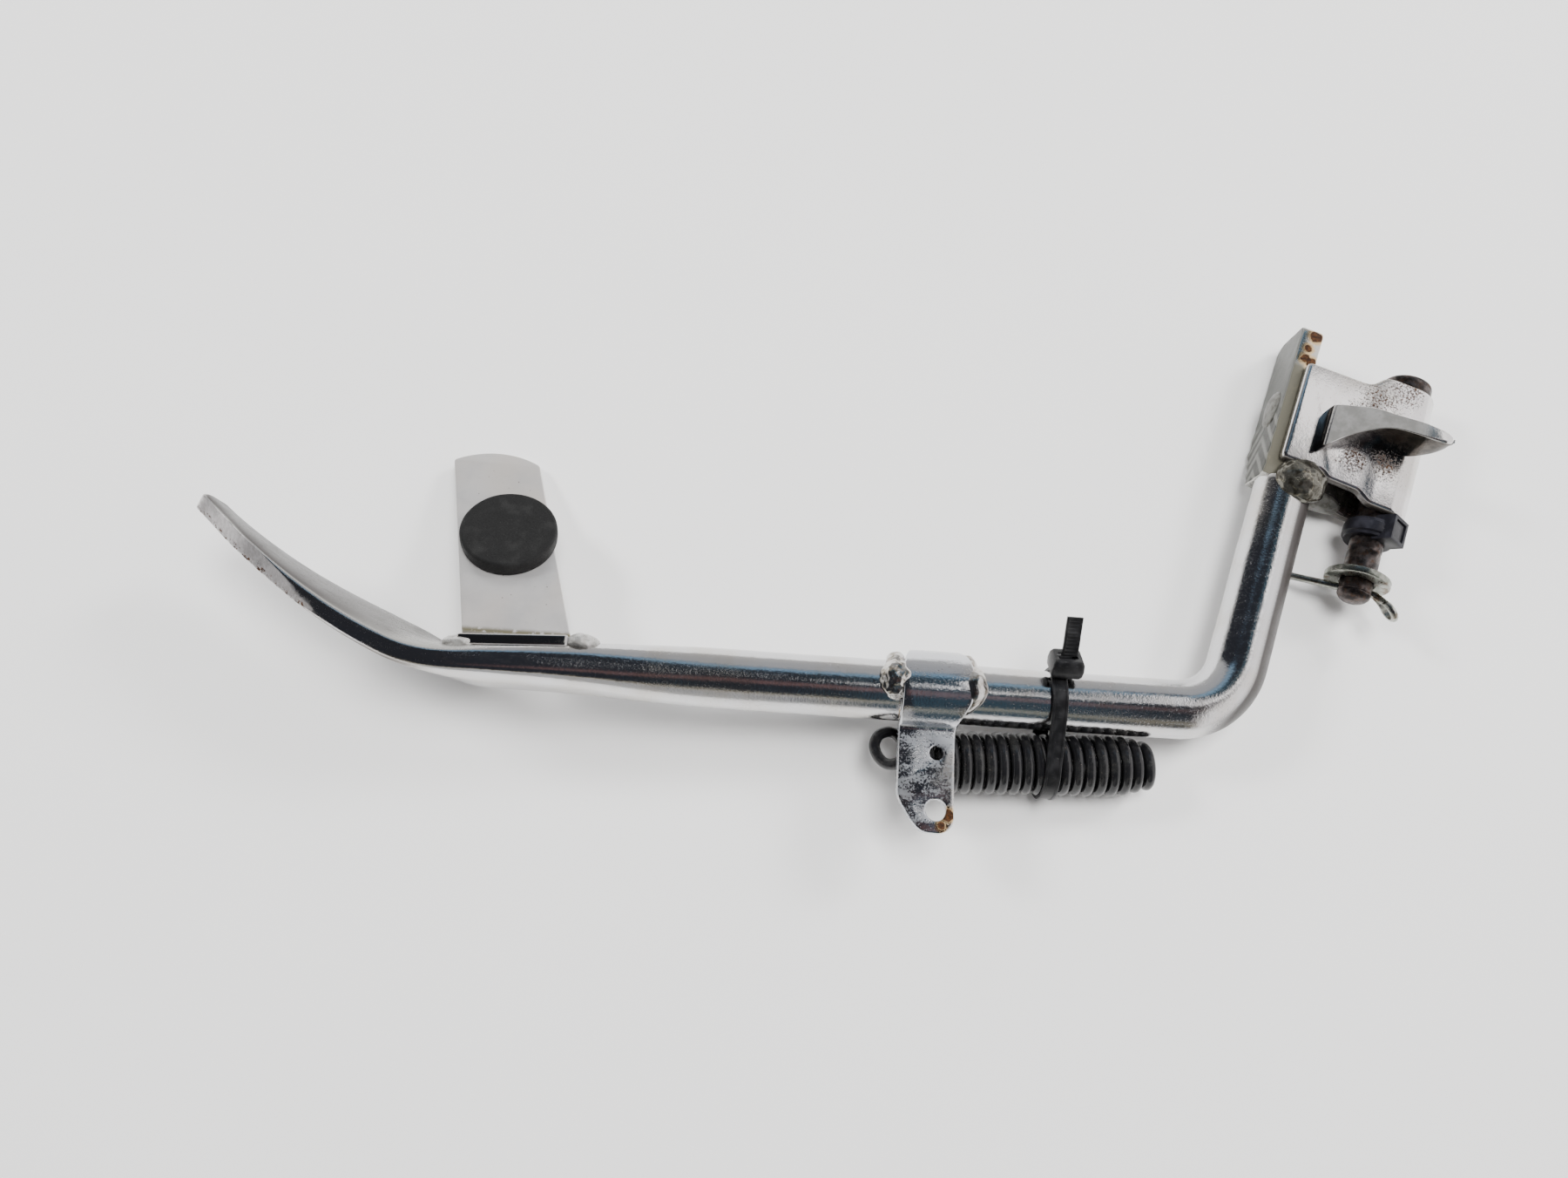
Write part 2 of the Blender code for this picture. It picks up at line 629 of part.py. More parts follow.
def tab_rings(grow):
    """Strap wrapped over the rod and bent out again into a flat tab."""
    middle = ROD_RADIUS + GAP + TAB_THICKNESS / 2.0
    path = []
    rails = []
    for i in range(12):
        degrees = -30.0 + 180.0 * i / 11
        angle = math.radians(degrees)
        path.append((RUN_Y + middle * math.cos(angle), middle * math.sin(angle)))
        narrow = smooth_step((degrees - 108.0) / 40.0) + smooth_step((75.0 - degrees) / 60.0)
        rails.append((TAB_LEFT - grow, WRAP_RIGHT + grow + (TAB_RIGHT - WRAP_RIGHT) * narrow))
    start_y, start_z = path[-1]
    bend = 3.0 * MM
    center = (start_y - bend * math.sin(math.radians(60.0)), start_z + bend * math.cos(math.radians(60.0)))
    for degrees in (-45.0, -60.0, -75.0, -90.0):
        angle = math.radians(degrees)
        path.append((center[0] + bend * math.cos(angle), center[1] + bend * math.sin(angle)))
        rails.append((TAB_LEFT, TAB_RIGHT))
    flat_z = path[-1][1]
    outline = [(-87.3, -136.0, -121.2), (-90.0, -134.4, -121.2), (-93.6, -132.0, -121.3),
               (-95.3, -130.4, -122.3), (-96.2, -128.4, -124.0)]
    for y, left, right in outline:
        path.append((y * MM, flat_z))
        rails.append((left * MM, right * MM))
    return sheet_rings(path, rails, TAB_THICKNESS + 2.0 * grow), flat_z


def make_spring_tab(parent, material):
    rings, flat_z = tab_rings(0.0)
    tab = loft("spring_tab", rings, material, parent)
    reach = 9.0 * MM
    for name, spot, radius in (("small_hole_tool", SMALL_HOLE, SMALL_HOLE_RADIUS),
                               ("large_hole_tool", LARGE_HOLE, LARGE_HOLE_RADIUS)):
        profile = tool_profile(radius, -reach, reach)
        hole = cutter(turned(name, profile, 20, along_z, None, parent))
        hole.location = (spot.x, spot.y, flat_z)
        apply_boolean(tab, hole, "DIFFERENCE")
    return tab


def spring_path():
    """Hook, close coils, and the last turns drawing in to the axis."""
    points = []
    steps_per_turn = 12
    total = int(SPRING_TURNS * steps_per_turn)
    for i in range(total + 1):
        turns = i / steps_per_turn
        left = SPRING_TURNS - turns
        radius = SPRING_MEAN_RADIUS - 1.9 * MM * smooth_step(1.0 - left / 3.0)
        angle = 2.0 * math.pi * turns + math.radians(90.0)
        along = SPRING_PITCH * turns
        points.append(Vector((SPRING_START_X + along, SPRING_Y + SPRING_SLOPE * along + radius * math.cos(angle),
                              SPRING_Z + radius * math.sin(angle))))
    hook = []
    for t, y, z in ((-137.2, -78.6, -3.2), (-138.6, -76.4, -5.4), (-140.0, -73.4, -6.6),
                    (-139.2, -69.9, -7.2), (-136.6, -68.0, -7.6)):
        hook.append(Vector((t, y, z)) * MM)
    lead = [Vector((-135.2, -78.6, -1.2)) * MM]
    return hook[::-1] + lead + points


def make_return_spring(parent, material):
    points = spring_path()
    rings = tube_rings(points, [SPRING_WIRE_RADIUS] * len(points), 8)
    return loft("return_spring", rings, material, parent)


def tie_path():
    """Middle line of the tie from the tail's tip to the head, as (y, z), with its X shift."""
    lift = GAP + TIE_THICKNESS / 2.0
    rod = Vector((RUN_Y, 0.0))
    spring = Vector((SPRING_Y + SPRING_SLOPE * (TIE_X - SPRING_START_X), SPRING_Z))
    rod_r = ROD_RADIUS + lift
    spring_r = SPRING_MEAN_RADIUS + SPRING_WIRE_RADIUS + lift
    line = spring - rod
    away = math.degrees(math.atan2(line.y, line.x)) % 360.0
    skew = math.degrees(math.asin((rod_r - spring_r) / line.length))
    upper = away - 90.0 + skew
    lower = away + 90.0 - skew
    outward = Vector((math.cos(TIE_HEAD_ANGLE), math.sin(TIE_HEAD_ANGLE)))
    tail_start = rod + outward * (TIE_HEAD_OUTER + 1.5 * MM)
    tail_way = Vector((math.cos(TIE_TAIL_ANGLE), math.sin(TIE_TAIL_ANGLE)))
    points = [tuple(tail_start + tail_way * (length * MM)) for length in (8.6, 4.5, 1.0)]
    points += [tuple(rod + outward * (radius * MM)) for radius in (15.2, 12.6, 10.9)]
    head_degrees = math.degrees(TIE_HEAD_ANGLE)
    for extra, radius in ((3.0, 9.75), (9.0, 9.05)):
        points += arc_points(rod, radius * MM, head_degrees + extra, head_degrees + extra, 1)[:1]
    points += arc_points(rod, rod_r, head_degrees + 16.0, upper, 4)
    points += arc_points(spring, spring_r, upper, lower, 12)
    points += arc_points(rod, rod_r, lower, 360.0 + head_degrees - 26.0, 7)
    points += arc_points(rod, 9.5 * MM, head_degrees - 17.0, head_degrees - 17.0, 1)[:1]
    points += arc_points(rod, 11.2 * MM, head_degrees - 12.5, head_degrees - 12.5, 1)[:1]
    shifts = [0.4 * MM, 0.2 * MM, 0.1 * MM] + [0.0] * (len(points) - 3)
    return points, shifts


def make_cable_tie(parent, material):
    """Nylon strap round the rod and the spring, moulded in one with its head."""
    points, shifts = tie_path()
    half = TIE_WIDTH / 2.0
    rails = [(TIE_X + shift - half, TIE_X + shift + half) for shift in shifts]
    tie = loft("cable_tie", sheet_rings(points, rails, TIE_THICKNESS), material, parent)
    rod = Vector((TIE_X, RUN_Y, 0.0))
    lean = (TIE_HEAD_ANGLE - math.pi / 2.0, 0.0, 0.0)
    head = box_tool("tie_head_tool", parent, Vector((-4.3 * MM, -3.7 * MM, TIE_HEAD_INNER)),
                    Vector((4.3 * MM, 3.7 * MM, TIE_HEAD_OUTER)))
    slot = box_tool("tie_slot_tool", parent, Vector((-2.5 * MM, -1.0 * MM, TIE_HEAD_INNER - MM)),
                    Vector((2.5 * MM, 1.0 * MM, TIE_HEAD_OUTER + MM)))
    for tool in (head, slot):
        tool.location = rod
        tool.rotation_euler = lean
    apply_boolean(head, slot, "DIFFERENCE")
    apply_boolean(tie, head, "UNION")
    return tie


def ellipsoid(name, center, radii, material, parent):
    """A low-poly ellipsoid, the blank of a weld bead."""
    profile = []
    levels = 8
    for i in range(levels + 1):
        angle = math.pi * i / levels - math.pi / 2.0
        profile.append((math.cos(angle), math.sin(angle)))
    profile[0] = (0.0, -1.0)
    profile[-1] = (0.0, 1.0)

    def place(x, y, height):
        return (Vector(center) + Vector((radii[0] * x, radii[1] * y, radii[2] * height))) * MM

    return turned(name, profile, 14, place, material, parent)


def make_weld(name, center, radii, tools, material, parent):
    """A bead of weld metal: an ellipsoid cut back from the pieces that it joins."""
    bead = ellipsoid(name, center, radii, material, parent)
    for tool in tools:
        apply_boolean(bead, tool, "DIFFERENCE")
    return bead


def make_welds(leg, pivot, material):
    rod = cutter(loft("rod_tool", rod_rings(GAP), None, leg))
    tab = cutter(loft("tab_tool", tab_rings(GAP)[0], None, leg))
    strip = cutter(loft("strip_tool", strip_rings(GAP), None, leg))
    bar = box_tool("bar_tool", pivot, Vector((BAR_LEFT - GAP, BAR_LOW - GAP, BAR_BOTTOM - GAP)),
                   Vector((BAR_RIGHT + GAP, BAR_HIGH, BAR_TOP + GAP)))
    inner = KNUCKLE_RADIUS - SHEET
    top = box_tool("top_plate_tool", pivot, Vector((PLATE_LEFT - GAP, PLATE_LOW - GAP, inner - GAP)),
                   Vector((0.0, PLATE_HIGH + GAP, KNUCKLE_RADIUS + GAP)))
    bottom = box_tool("bottom_plate_tool", pivot,
                      Vector((BAR_RIGHT, PLATE_LOW - GAP, -KNUCKLE_RADIUS - GAP)),
                      Vector((0.0, PLATE_HIGH + GAP, -inner + GAP)))
    lug = box_tool("lug_tool", pivot, Vector((-26.0 * MM, 5.0 * MM, 0.0)),
                   Vector((8.0 * MM, 22.75 * MM, 30.0 * MM)))
    for name, center, radii, tools in (
            ("corner_weld", (-25.4, -0.4, 7.6), (6.5, 6.0, 3.4), (rod, top, bar)),
            ("lower_corner_weld", (-22.6, -0.2, -8.4), (5.6, 5.4, 3.0), (rod, bottom, bar)),
            ("bar_face_weld", (-35.0, 21.6, -2.4), (1.3, 5.4, 4.2), (bar,)),
            ("lug_weld", (-14.5, 23.2, 8.6), (7.6, 2.2, 2.1), (top, lug))):
        make_weld(name, center, radii, tools, material, pivot)
    for name, center, radii, tools in (
            ("tab_weld_left", (-137.6, -58.2, 8.2), (4.8, 5.6, 3.6), (rod, tab)),
            ("tab_weld_right", (-117.4, -60.4, 7.4), (4.0, 5.8, 4.6), (rod, tab)),
            ("strip_weld_left", (-250.6, -55.4, 4.4), (5.0, 3.0, 5.4), (rod, strip)),
            ("strip_weld_right", (-219.8, -53.4, 4.4), (5.6, 3.0, 5.6), (rod, strip))):
        make_weld(name, center, radii, tools, material, leg)


def build():
    clear_scene()
    chrome = make_material("chrome", (0.62, 0.62, 0.63), 0.14, 1.0)
    satin = make_material("satin_chrome", (0.56, 0.55, 0.55), 0.38, 1.0)
    weld = make_material("chromed_weld", (0.55, 0.53, 0.50), 0.25, 1.0)
    steel = make_material("worn_steel", (0.30, 0.28, 0.26), 0.35, 1.0)
    zinc = make_material("zinc", (0.55, 0.56, 0.52), 0.42, 1.0)
    rubber = make_material("rubber", (0.02, 0.02, 0.02), 0.75, 0.0)
    spring_black = make_material("spring_black", (0.02, 0.02, 0.02), 0.35, 0.0)
    nylon = make_material("nylon", (0.015, 0.015, 0.016), 0.45, 0.0)
    plastic = make_material("plastic", (0.02, 0.02, 0.022), 0.4, 0.0)
    magnet = make_material("magnet", (0.06, 0.06, 0.06), 0.5, 1.0)

    leg = make_empty("leg_frame", None, (ORIGIN_X, ORIGIN_Y, ORIGIN_Z), (0.0, REST_TILT, 0.0))
    pivot = make_empty("pivot_frame", leg, (*PIVOT_ORIGIN, 0.0), (0.0, 0.0, PIN_HEADING - math.pi / 2.0))

    make_leg_rod(leg, chrome)
    make_bumper_strip(leg, satin)
    make_rubber_bumper(leg, rubber)
    make_spring_tab(leg, chrome)
    make_return_spring(leg, spring_black)
    make_cable_tie(leg, nylon)
    make_head_bar(pivot, chrome)
    make_head_plate(pivot, chrome)
    make_stop_lug(pivot, chrome)
    pin = make_clevis_pin(pivot, steel)
    make_washer(pivot, zinc)
    make_split_pin(pin, pivot, zinc)
    make_collar(pivot, plastic)
    make_collar_magnet(pivot, magnet)
    make_welds(leg, pivot, weld)


build()
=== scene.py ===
"""Looks of the motorcycle kickstand: fine meshes and worn plating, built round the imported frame.

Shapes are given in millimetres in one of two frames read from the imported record.  The leg frame
has its XY plane through the middle of the leg rod, whose long run lies along -X.  The pivot
frame has its origin on the clevis pin's axis, its Y along the pin towards the pin's head and its
X away from the leg.
"""
import json
import math

import bmesh
import bpy
from mathutils import Euler, Matrix, Vector, noise


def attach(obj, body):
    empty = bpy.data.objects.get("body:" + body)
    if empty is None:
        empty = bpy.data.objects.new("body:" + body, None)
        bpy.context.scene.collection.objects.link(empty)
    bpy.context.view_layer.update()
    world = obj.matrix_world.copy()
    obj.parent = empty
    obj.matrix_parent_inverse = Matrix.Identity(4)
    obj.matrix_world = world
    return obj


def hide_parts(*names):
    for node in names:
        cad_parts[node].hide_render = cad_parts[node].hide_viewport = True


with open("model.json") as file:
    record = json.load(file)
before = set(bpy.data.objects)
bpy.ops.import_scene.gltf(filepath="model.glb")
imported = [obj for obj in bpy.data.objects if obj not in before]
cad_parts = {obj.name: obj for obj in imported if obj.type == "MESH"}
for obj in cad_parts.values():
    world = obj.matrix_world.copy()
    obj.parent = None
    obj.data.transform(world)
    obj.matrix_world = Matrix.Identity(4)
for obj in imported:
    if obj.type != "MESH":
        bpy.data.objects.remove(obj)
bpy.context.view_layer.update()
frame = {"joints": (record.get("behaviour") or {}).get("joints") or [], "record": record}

MM = 0.001
# Edges bent more than these stay sharp: plain pieces, rounded pieces, wire and weld beads
SHARP_ANGLE = math.radians(40.0)
SOFT_ANGLE = math.radians(50.0)
BEAD_ANGLE = math.radians(60.0)
PIN_HEADING = 72.2
PIVOT_FROM_LEG = Vector((-0.8, 0.25, 0.0))

# Leg rod
ROD_RADIUS = 7.94
RUN_Y = -59.2
BEND_RADIUS = 18.5
UPRIGHT_HEADING = math.radians(73.3)
UPRIGHT_END = Vector((-27.1, 6.9))
FLATTEN_START_X = -180.0
FLATTEN_END_X = -262.0
FOOT_OFFSET_START_X = -215.0
FOOT_BEND_X = -243.0
FOOT_BENDS = ((45.0, -20.0), (195.0, -20.5))
FOOT_THICKNESS = 8.4
FOOT_TIP_THICKNESS = 5.0
FOOT_HEIGHT = 23.0
FOOT_OFFSET = 1.5
FOOT_TWIST = math.radians(20.0)
FOOT_TIP_TWIST = math.radians(5.0)
FACET_ANGLE = math.radians(38.0)
FACET_DEPTH = 1.5
STATION_STEP = 1.1
ROD_SIDES = 96
ROD_CAP_STEPS = 4
BLADE_X = (-236.0, -252.0)
KEEL_X = (-252.0, -268.0)

# Head, in the pivot frame; S is the way along the pin
SHEET = 3.2
KNUCKLE_RADIUS = 8.0
KNUCKLE_LOW = -1.0
KNUCKLE_HIGH = 39.0
PLATE_LEFT = -32.4
PLATE_HIGH = 34.5
BAR_LEFT = -35.4
BAR_RIGHT = -29.0
BAR_LOW = -1.7
BAR_HIGH = 47.8
BAR_BOTTOM = -11.7
BAR_TOP = 4.5
# Where along the bar its top edge gets an olive-grey painted reflection
TOP_REFLECTION_S = (37.0, 33.5)
V_DEPTH = 3.5

# Pin and what sits on it
PIN_RADIUS = 4.5
PIN_END = -27.2
PIN_HEAD_RADIUS = 6.8
SPLIT_PIN_S = -23.5
SPLIT_ROLL = math.radians(21.0)
COLLAR_ROLL = math.radians(58.0)

# Prop strip, tab, spring and tie
STRIP_THICKNESS = 2.9
STRIP_SLOPE = math.radians(23.5)
STRIP_LEFT = -263.8
STRIP_RIGHT = -239.2
STRIP_BEND_RADIUS = 3.0
STRIP_CREASE_Y = -51.0
STRIP_TIP_RISE = 3.4
FLANGE_LEFT = -250.6
FLANGE_RIGHT = -222.6
FLANGE_Y = -54.3
FLANGE_TOP = 8.7
FLANGE_SKEW = 0.05
FLANGE_MIDDLE_X = -236.0
SKEW_REACH = 50.0
STRIP_END = Vector((3.6, -23.9))
BUMPER_POINT = Vector((-243.4, -22.6))
BUMPER_RADIUS = 13.2
BUMPER_HEIGHT = 4.5
BUMPER_HOLE = 4.3
TAB_THICKNESS = 3.0
TAB_GAP = 0.15
TAB_START = -30.0
TAB_BEND_RADIUS = 3.0
FROST_Y = (-66.0, -71.0)
TAB_HOLES = ((-125.9, -75.7, 1.8), (-125.7, -90.3, 2.75))
SPRING_Y = -76.9
SPRING_Z = -7.0
SPRING_SLOPE = 0.042
SPRING_WIRE = 1.5
SPRING_RADIUS = 6.85
SPRING_PITCH = 3.32
SPRING_START_X = -133.5
SPRING_TURNS = 20.5
SPRING_TAPER = 1.9
TIE_X = -93.2
TIE_WIDTH = 4.2
TIE_THICKNESS = 1.0
TIE_HEAD_ANGLE = math.radians(48.0)
TIE_TAIL_ANGLE = math.radians(24.0)

# Camera, in the leg frame
CAMERA_LENS = 28.0
CAMERA_PLACE = Vector((-187.795, -118.409, 316.207))
CAMERA_TURN = (14.756, -4.493, 3.108)


# ---------------------------------------------------------------- frames

def named(rows):
    return {row["name"]: row for row in rows}


JOINTS = named(frame["joints"])
MOUNTS = named(frame["record"]["mounts"])


def pivot_matrix():
    """The pivot frame, from the pin's joint and the tab's face."""
    along_pin = -Vector(JOINTS["pin_turn"]["axis"])
    up = Vector(MOUNTS["spring_tab_face"]["axis"])
    across = along_pin.cross(up).normalized()
    up = across.cross(along_pin)
    matrix = Matrix((across, along_pin, up)).transposed().to_4x4()
    matrix.translation = Vector(JOINTS["pin_turn"]["pos_m"])
    return matrix


PIVOT = pivot_matrix()
LEG = PIVOT @ (Matrix.Translation(PIVOT_FROM_LEG * MM)
               @ Matrix.Rotation(math.radians(PIN_HEADING - 90.0), 4, "Z")).inverted()


# ---------------------------------------------------------------- mesh helpers

def smooth_step(value):
    value = min(max(value, 0.0), 1.0)
    return value * value * (3.0 - 2.0 * value)


def mix(a, b, share):
    return a + (b - a) * share


def polar(center, radius, degrees):
    """The point at that distance and angle from a centre."""
    angle = math.radians(degrees)
    return center[0] + radius * math.cos(angle), center[1] + radius * math.sin(angle)


def arc(center, radius, start, end, count):
    """Points on an arc, both ends included; angles in degrees."""
    return [polar(center, radius, mix(start, end, i / count)) for i in range(count + 1)]


def circle(center, radius):
    """The outline of a round hole."""
    return arc(center, radius, 0.0, 352.5, 47)


def spline(points, steps):
    """A smooth curve through points of any size, with steps pieces between each two."""
    rows = [Vector(point) for point in points]
    rows = [rows[0] * 2.0 - rows[1]] + rows + [rows[-1] * 2.0 - rows[-2]]
    curve = []
    for a, b, c, d in zip(rows, rows[1:], rows[2:], rows[3:]):
        for i in range(steps):
            t = i / steps
            curve.append(0.5 * (2.0 * b + (c - a) * t + (2.0 * a - 5.0 * b + 4.0 * c - d) * t ** 2
                                + (3.0 * b - a - 3.0 * c + d) * t ** 3))
    curve.append(rows[-2])
    return curve


def add_piece(name, builder, matrix, sharp_angle=SHARP_ANGLE):
    """An object from a bmesh in millimetres, standing in one of the frames."""
    bmesh.ops.remove_doubles(builder, verts=builder.verts[:], dist=1e-4)
    bmesh.ops.scale(builder, vec=(MM, MM, MM), verts=builder.verts[:])
    bmesh.ops.recalc_face_normals(builder, faces=builder.faces[:])
    mesh = bpy.data.meshes.new(name)
    builder.to_mesh(mesh)
    builder.free()
    mesh.shade_smooth()
    mesh.set_sharp_from_angle(angle=sharp_angle)
    piece = bpy.data.objects.new(name, mesh)
    bpy.context.scene.collection.objects.link(piece)
    piece.matrix_world = matrix
    return piece


def skin(builder, rings, joined=False):
    """Faces over a row of rings; joined closes the row on itself, else both ends are filled."""
    rows = [[builder.verts.new(point) for point in ring] for ring in rings]
    count = len(rows[0])
    pairs = list(zip(rows, rows[1:]))
    if joined:
        pairs.append((rows[-1], rows[0]))
    for row_a, row_b in pairs:
        for i in range(count):
            j = (i + 1) % count
            builder.faces.new((row_a[i], row_a[j], row_b[j], row_b[i]))
    if not joined:
        builder.faces.new(rows[0][::-1])
        builder.faces.new(rows[-1])
    return rows


def turned(builder, profile, sides, axis="Y", joined=False):
    """Revolve (radius, height) pairs about an axis; joined makes a ring of a closed outline."""
    def point(radius, height, angle):
        u = radius * math.cos(angle)
        v = radius * math.sin(angle)
        return {"X": (height, u, v), "Y": (u, height, v), "Z": (u, v, height)}[axis]

    rings = []
    for i in range(sides):
        angle = 2.0 * math.pi * i / sides
        rings.append([point(radius, height, angle) for radius, height in profile])
    rows = [[builder.verts.new(place) for place in ring] for ring in rings]
    count = len(profile)
    last = count if joined else count - 1
    for row_a, row_b in zip(rows, rows[1:] + rows[:1]):
        for i in range(last):
            j = (i + 1) % count
            corners = [row_a[i], row_a[j], row_b[j], row_b[i]]
            if profile[i][0] < 1e-6:
                corners = [row_a[i], row_a[j], row_b[j]]
            elif profile[j][0] < 1e-6:
                corners = [row_a[i], row_a[j], row_b[i]]
            builder.faces.new(corners)


def fillet(points, radius, steps=4):
    """An open outline with each inner corner rounded to the radius."""
    rounded = [points[0]]
    for before, corner, after in zip(points, points[1:], points[2:]):
        corner_v = Vector(corner)
        back = Vector(before) - corner_v
        ahead = Vector(after) - corner_v
        reach = min(radius, back.length * 0.45, ahead.length * 0.45)
        start = corner_v + back.normalized() * reach
        end = corner_v + ahead.normalized() * reach
        for i in range(steps + 1):
            t = i / steps
            point = start * (1.0 - t) ** 2 + corner_v * 2.0 * t * (1.0 - t) + end * t ** 2
            rounded.append(tuple(point))
    rounded.append(points[-1])
    return rounded


def fillet_loop(points, radius, steps=4):
    """A closed outline with every corner rounded."""
    return fillet([points[-1]] + list(points) + [points[0]], radius, steps)[1:-1]


def slab(outlines, thickness, edge, cuts=()):
    """A flat plate with rounded edges as a bmesh; the outlines after the first are its holes.

    It lies in XY, and cuts are the Y places where it can bend.
    """
    curve = bpy.data.curves.new("slab", "CURVE")
    curve.dimensions = "2D"
    curve.fill_mode = "BOTH"
    curve.extrude = thickness / 2.0 - edge
    curve.bevel_depth = edge
    curve.bevel_resolution = 2
    curve.offset = -edge
    for outline in outlines:
        line = curve.splines.new("POLY")
        line.points.add(len(outline) - 1)
        for point, (u, v) in zip(line.points, outline):
            point.co = (u, v, 0.0, 1.0)
        line.use_cyclic_u = True
    item = bpy.data.objects.new("slab", curve)
    bpy.context.scene.collection.objects.link(item)
    mesh = bpy.data.meshes.new_from_object(item.evaluated_get(bpy.context.evaluated_depsgraph_get()))
    builder = bmesh.new()
    builder.from_mesh(mesh)
    bpy.data.objects.remove(item)
    bpy.data.curves.remove(curve)
    bpy.data.meshes.remove(mesh)
    bmesh.ops.remove_doubles(builder, verts=builder.verts[:], dist=1e-3)
    for cut in cuts:
        everything = builder.verts[:] + builder.edges[:] + builder.faces[:]
        bmesh.ops.bisect_plane(builder, geom=everything, dist=1e-4, plane_co=(0.0, cut, 0.0),
                               plane_no=(0.0, 1.0, 0.0))
    return builder


class Fold:
    """Middle line of a bent sheet in a plane: straight runs and arcs, walked by length."""

    def __init__(self, start, heading):
        self.parts = []
        self.point = Vector(start)
        self.heading = heading
        self.length = 0.0

    def run(self, length):
        self.parts.append((self.length, length, self.point.copy(), self.heading, 0.0))
        self.point = self.point + Vector((math.cos(self.heading), math.sin(self.heading))) * length
        self.length += length
        return self

    def bend(self, radius, degrees):
        """Turn left for a positive angle."""
        turn = math.radians(degrees)
        length = abs(turn) * radius
        curvature = math.copysign(1.0 / radius, turn)
        self.parts.append((self.length, length, self.point.copy(), self.heading, curvature))
        self.length += length
        self.point, self.heading = self.at(self.length)
        return self

    def at(self, distance):
        """Point and heading at a distance along the line."""
        part = self.parts[0]
        for candidate in self.parts:
            if distance >= candidate[0] - 1e-9:
                part = candidate
        start, _, point, heading, curvature = part
        along = distance - start
        if curvature == 0.0:
            return point + Vector((math.cos(heading), math.sin(heading))) * along, heading
        end = heading + along * curvature
        offset = Vector((math.sin(end) - math.sin(heading), math.cos(heading) - math.cos(end)))
        return point + offset / curvature, end

    def bend_cuts(self, degrees=7.5):
        """Where the flat plate needs cuts so that its bends come out round."""
        cuts = []
        for start, length, _, _, curvature in self.parts:
            if curvature:
                count = max(2, int(abs(length * curvature) / math.radians(degrees)))
                cuts += [start + length * i / count for i in range(count + 1)]
        return cuts

    def wrap(self, builder, place):
        """Bend a flat plate: X stays across, Y goes along the line and Z becomes its depth."""
        for vert in builder.verts:
            across, along, depth = vert.co
            point, heading = self.at(along)
            normal = Vector((-math.sin(heading), math.cos(heading)))
            middle = point + normal * depth
            vert.co = place(across, middle.x, middle.y)


def carried_frames(points, side):
    """Tangent and side vectors along a path, carried without twisting."""
    frames = []
    for i in range(len(points)):
        tangent = (points[min(i + 1, len(points) - 1)] - points[max(i - 1, 0)]).normalized()
        side = (side - tangent * side.dot(tangent)).normalized()
        frames.append((tangent, side.copy()))
    return frames


def sweep_rings(points, section, side, scales=None):
    """Rings of a section of (side, other) pairs swept along a path."""
    rings = []
    for i, (tangent, way) in enumerate(carried_frames(points, side)):
        other = tangent.cross(way)
        scale = scales[i] if scales else 1.0
        rings.append([points[i] + (way * u + other * v) * scale for u, v in section])
    return rings


def round_section(radius, sides):
    return [polar((0.0, 0.0), radius, 360.0 * i / sides) for i in range(sides)]


def domed(rings, depth, steps=5):
    """Rings with both ends closed by a rounded cap of that depth."""
    def cap(ring, inner):
        middle = sum((Vector(p) for p in ring), Vector()) / len(ring)
        next_middle = sum((Vector(p) for p in inner), Vector()) / len(inner)
        way = (middle - next_middle).normalized()
        rows = []
        for i in range(1, steps + 1):
            angle = math.pi / 2.0 * i / (steps + 0.5)
            rows.append([middle + (Vector(p) - middle) * math.cos(angle) + way * depth * math.sin(angle)
                         for p in ring])
        return rows

    return cap(rings[0], rings[1])[::-1] + list(rings) + cap(rings[-1], rings[-2])


def roughen(builder, size, amount, seed=0.0):
    """Push the points in and out along their normals with smooth noise."""
    builder.normal_update()
    shift = Vector((seed, seed * 0.7, -seed))
    moves = []
    for vert in builder.verts:
        moves.append(vert.normal * amount * noise.noise(vert.co / size + shift))
    for vert, move in zip(builder.verts, moves):
        vert.co += move


def bevelled(piece, width, segments=3, angle=35.0):
    modifier = piece.modifiers.new("edges", "BEVEL")
    modifier.width = width * MM
    modifier.segments = segments
    modifier.limit_method = "ANGLE"
    modifier.angle_limit = math.radians(angle)
    return piece


def settle(piece):
    """Apply the piece's modifiers and shade it smooth between sharp edges."""
    mesh = bpy.data.meshes.new_from_object(piece.evaluated_get(bpy.context.evaluated_depsgraph_get()))
    piece.modifiers.clear()
    piece.data = mesh
    mesh.shade_smooth()
    mesh.set_sharp_from_angle(angle=SHARP_ANGLE)
    return piece


def boolean(piece, tool, operation):
    """Cut or join with a tool, which is then removed."""
    modifier = piece.modifiers.new(operation.lower(), "BOOLEAN")
    modifier.operation = operation
    modifier.object = tool
    bpy.context.view_layer.update()
    settle(piece)
    bpy.data.objects.remove(tool)
    return piece


def box_piece(name, low, high, matrix):
    builder = bmesh.new()
    corners = ((low[0], low[1]), (high[0], low[1]), (high[0], high[1]), (low[0], high[1]))
    rings = [[(x, y, z) for x, y in corners] for z in (low[2], high[2])]
    skin(builder, rings)
    return add_piece(name, builder, matrix)


def rod_tool(radius, low, high, matrix, axis="Z", sides=48):
    builder = bmesh.new()
    turned(builder, [(0.0, low), (radius, low), (radius, high), (0.0, high)], sides, axis)
    return add_piece("tool", builder, matrix)


# ---------------------------------------------------------------- materials

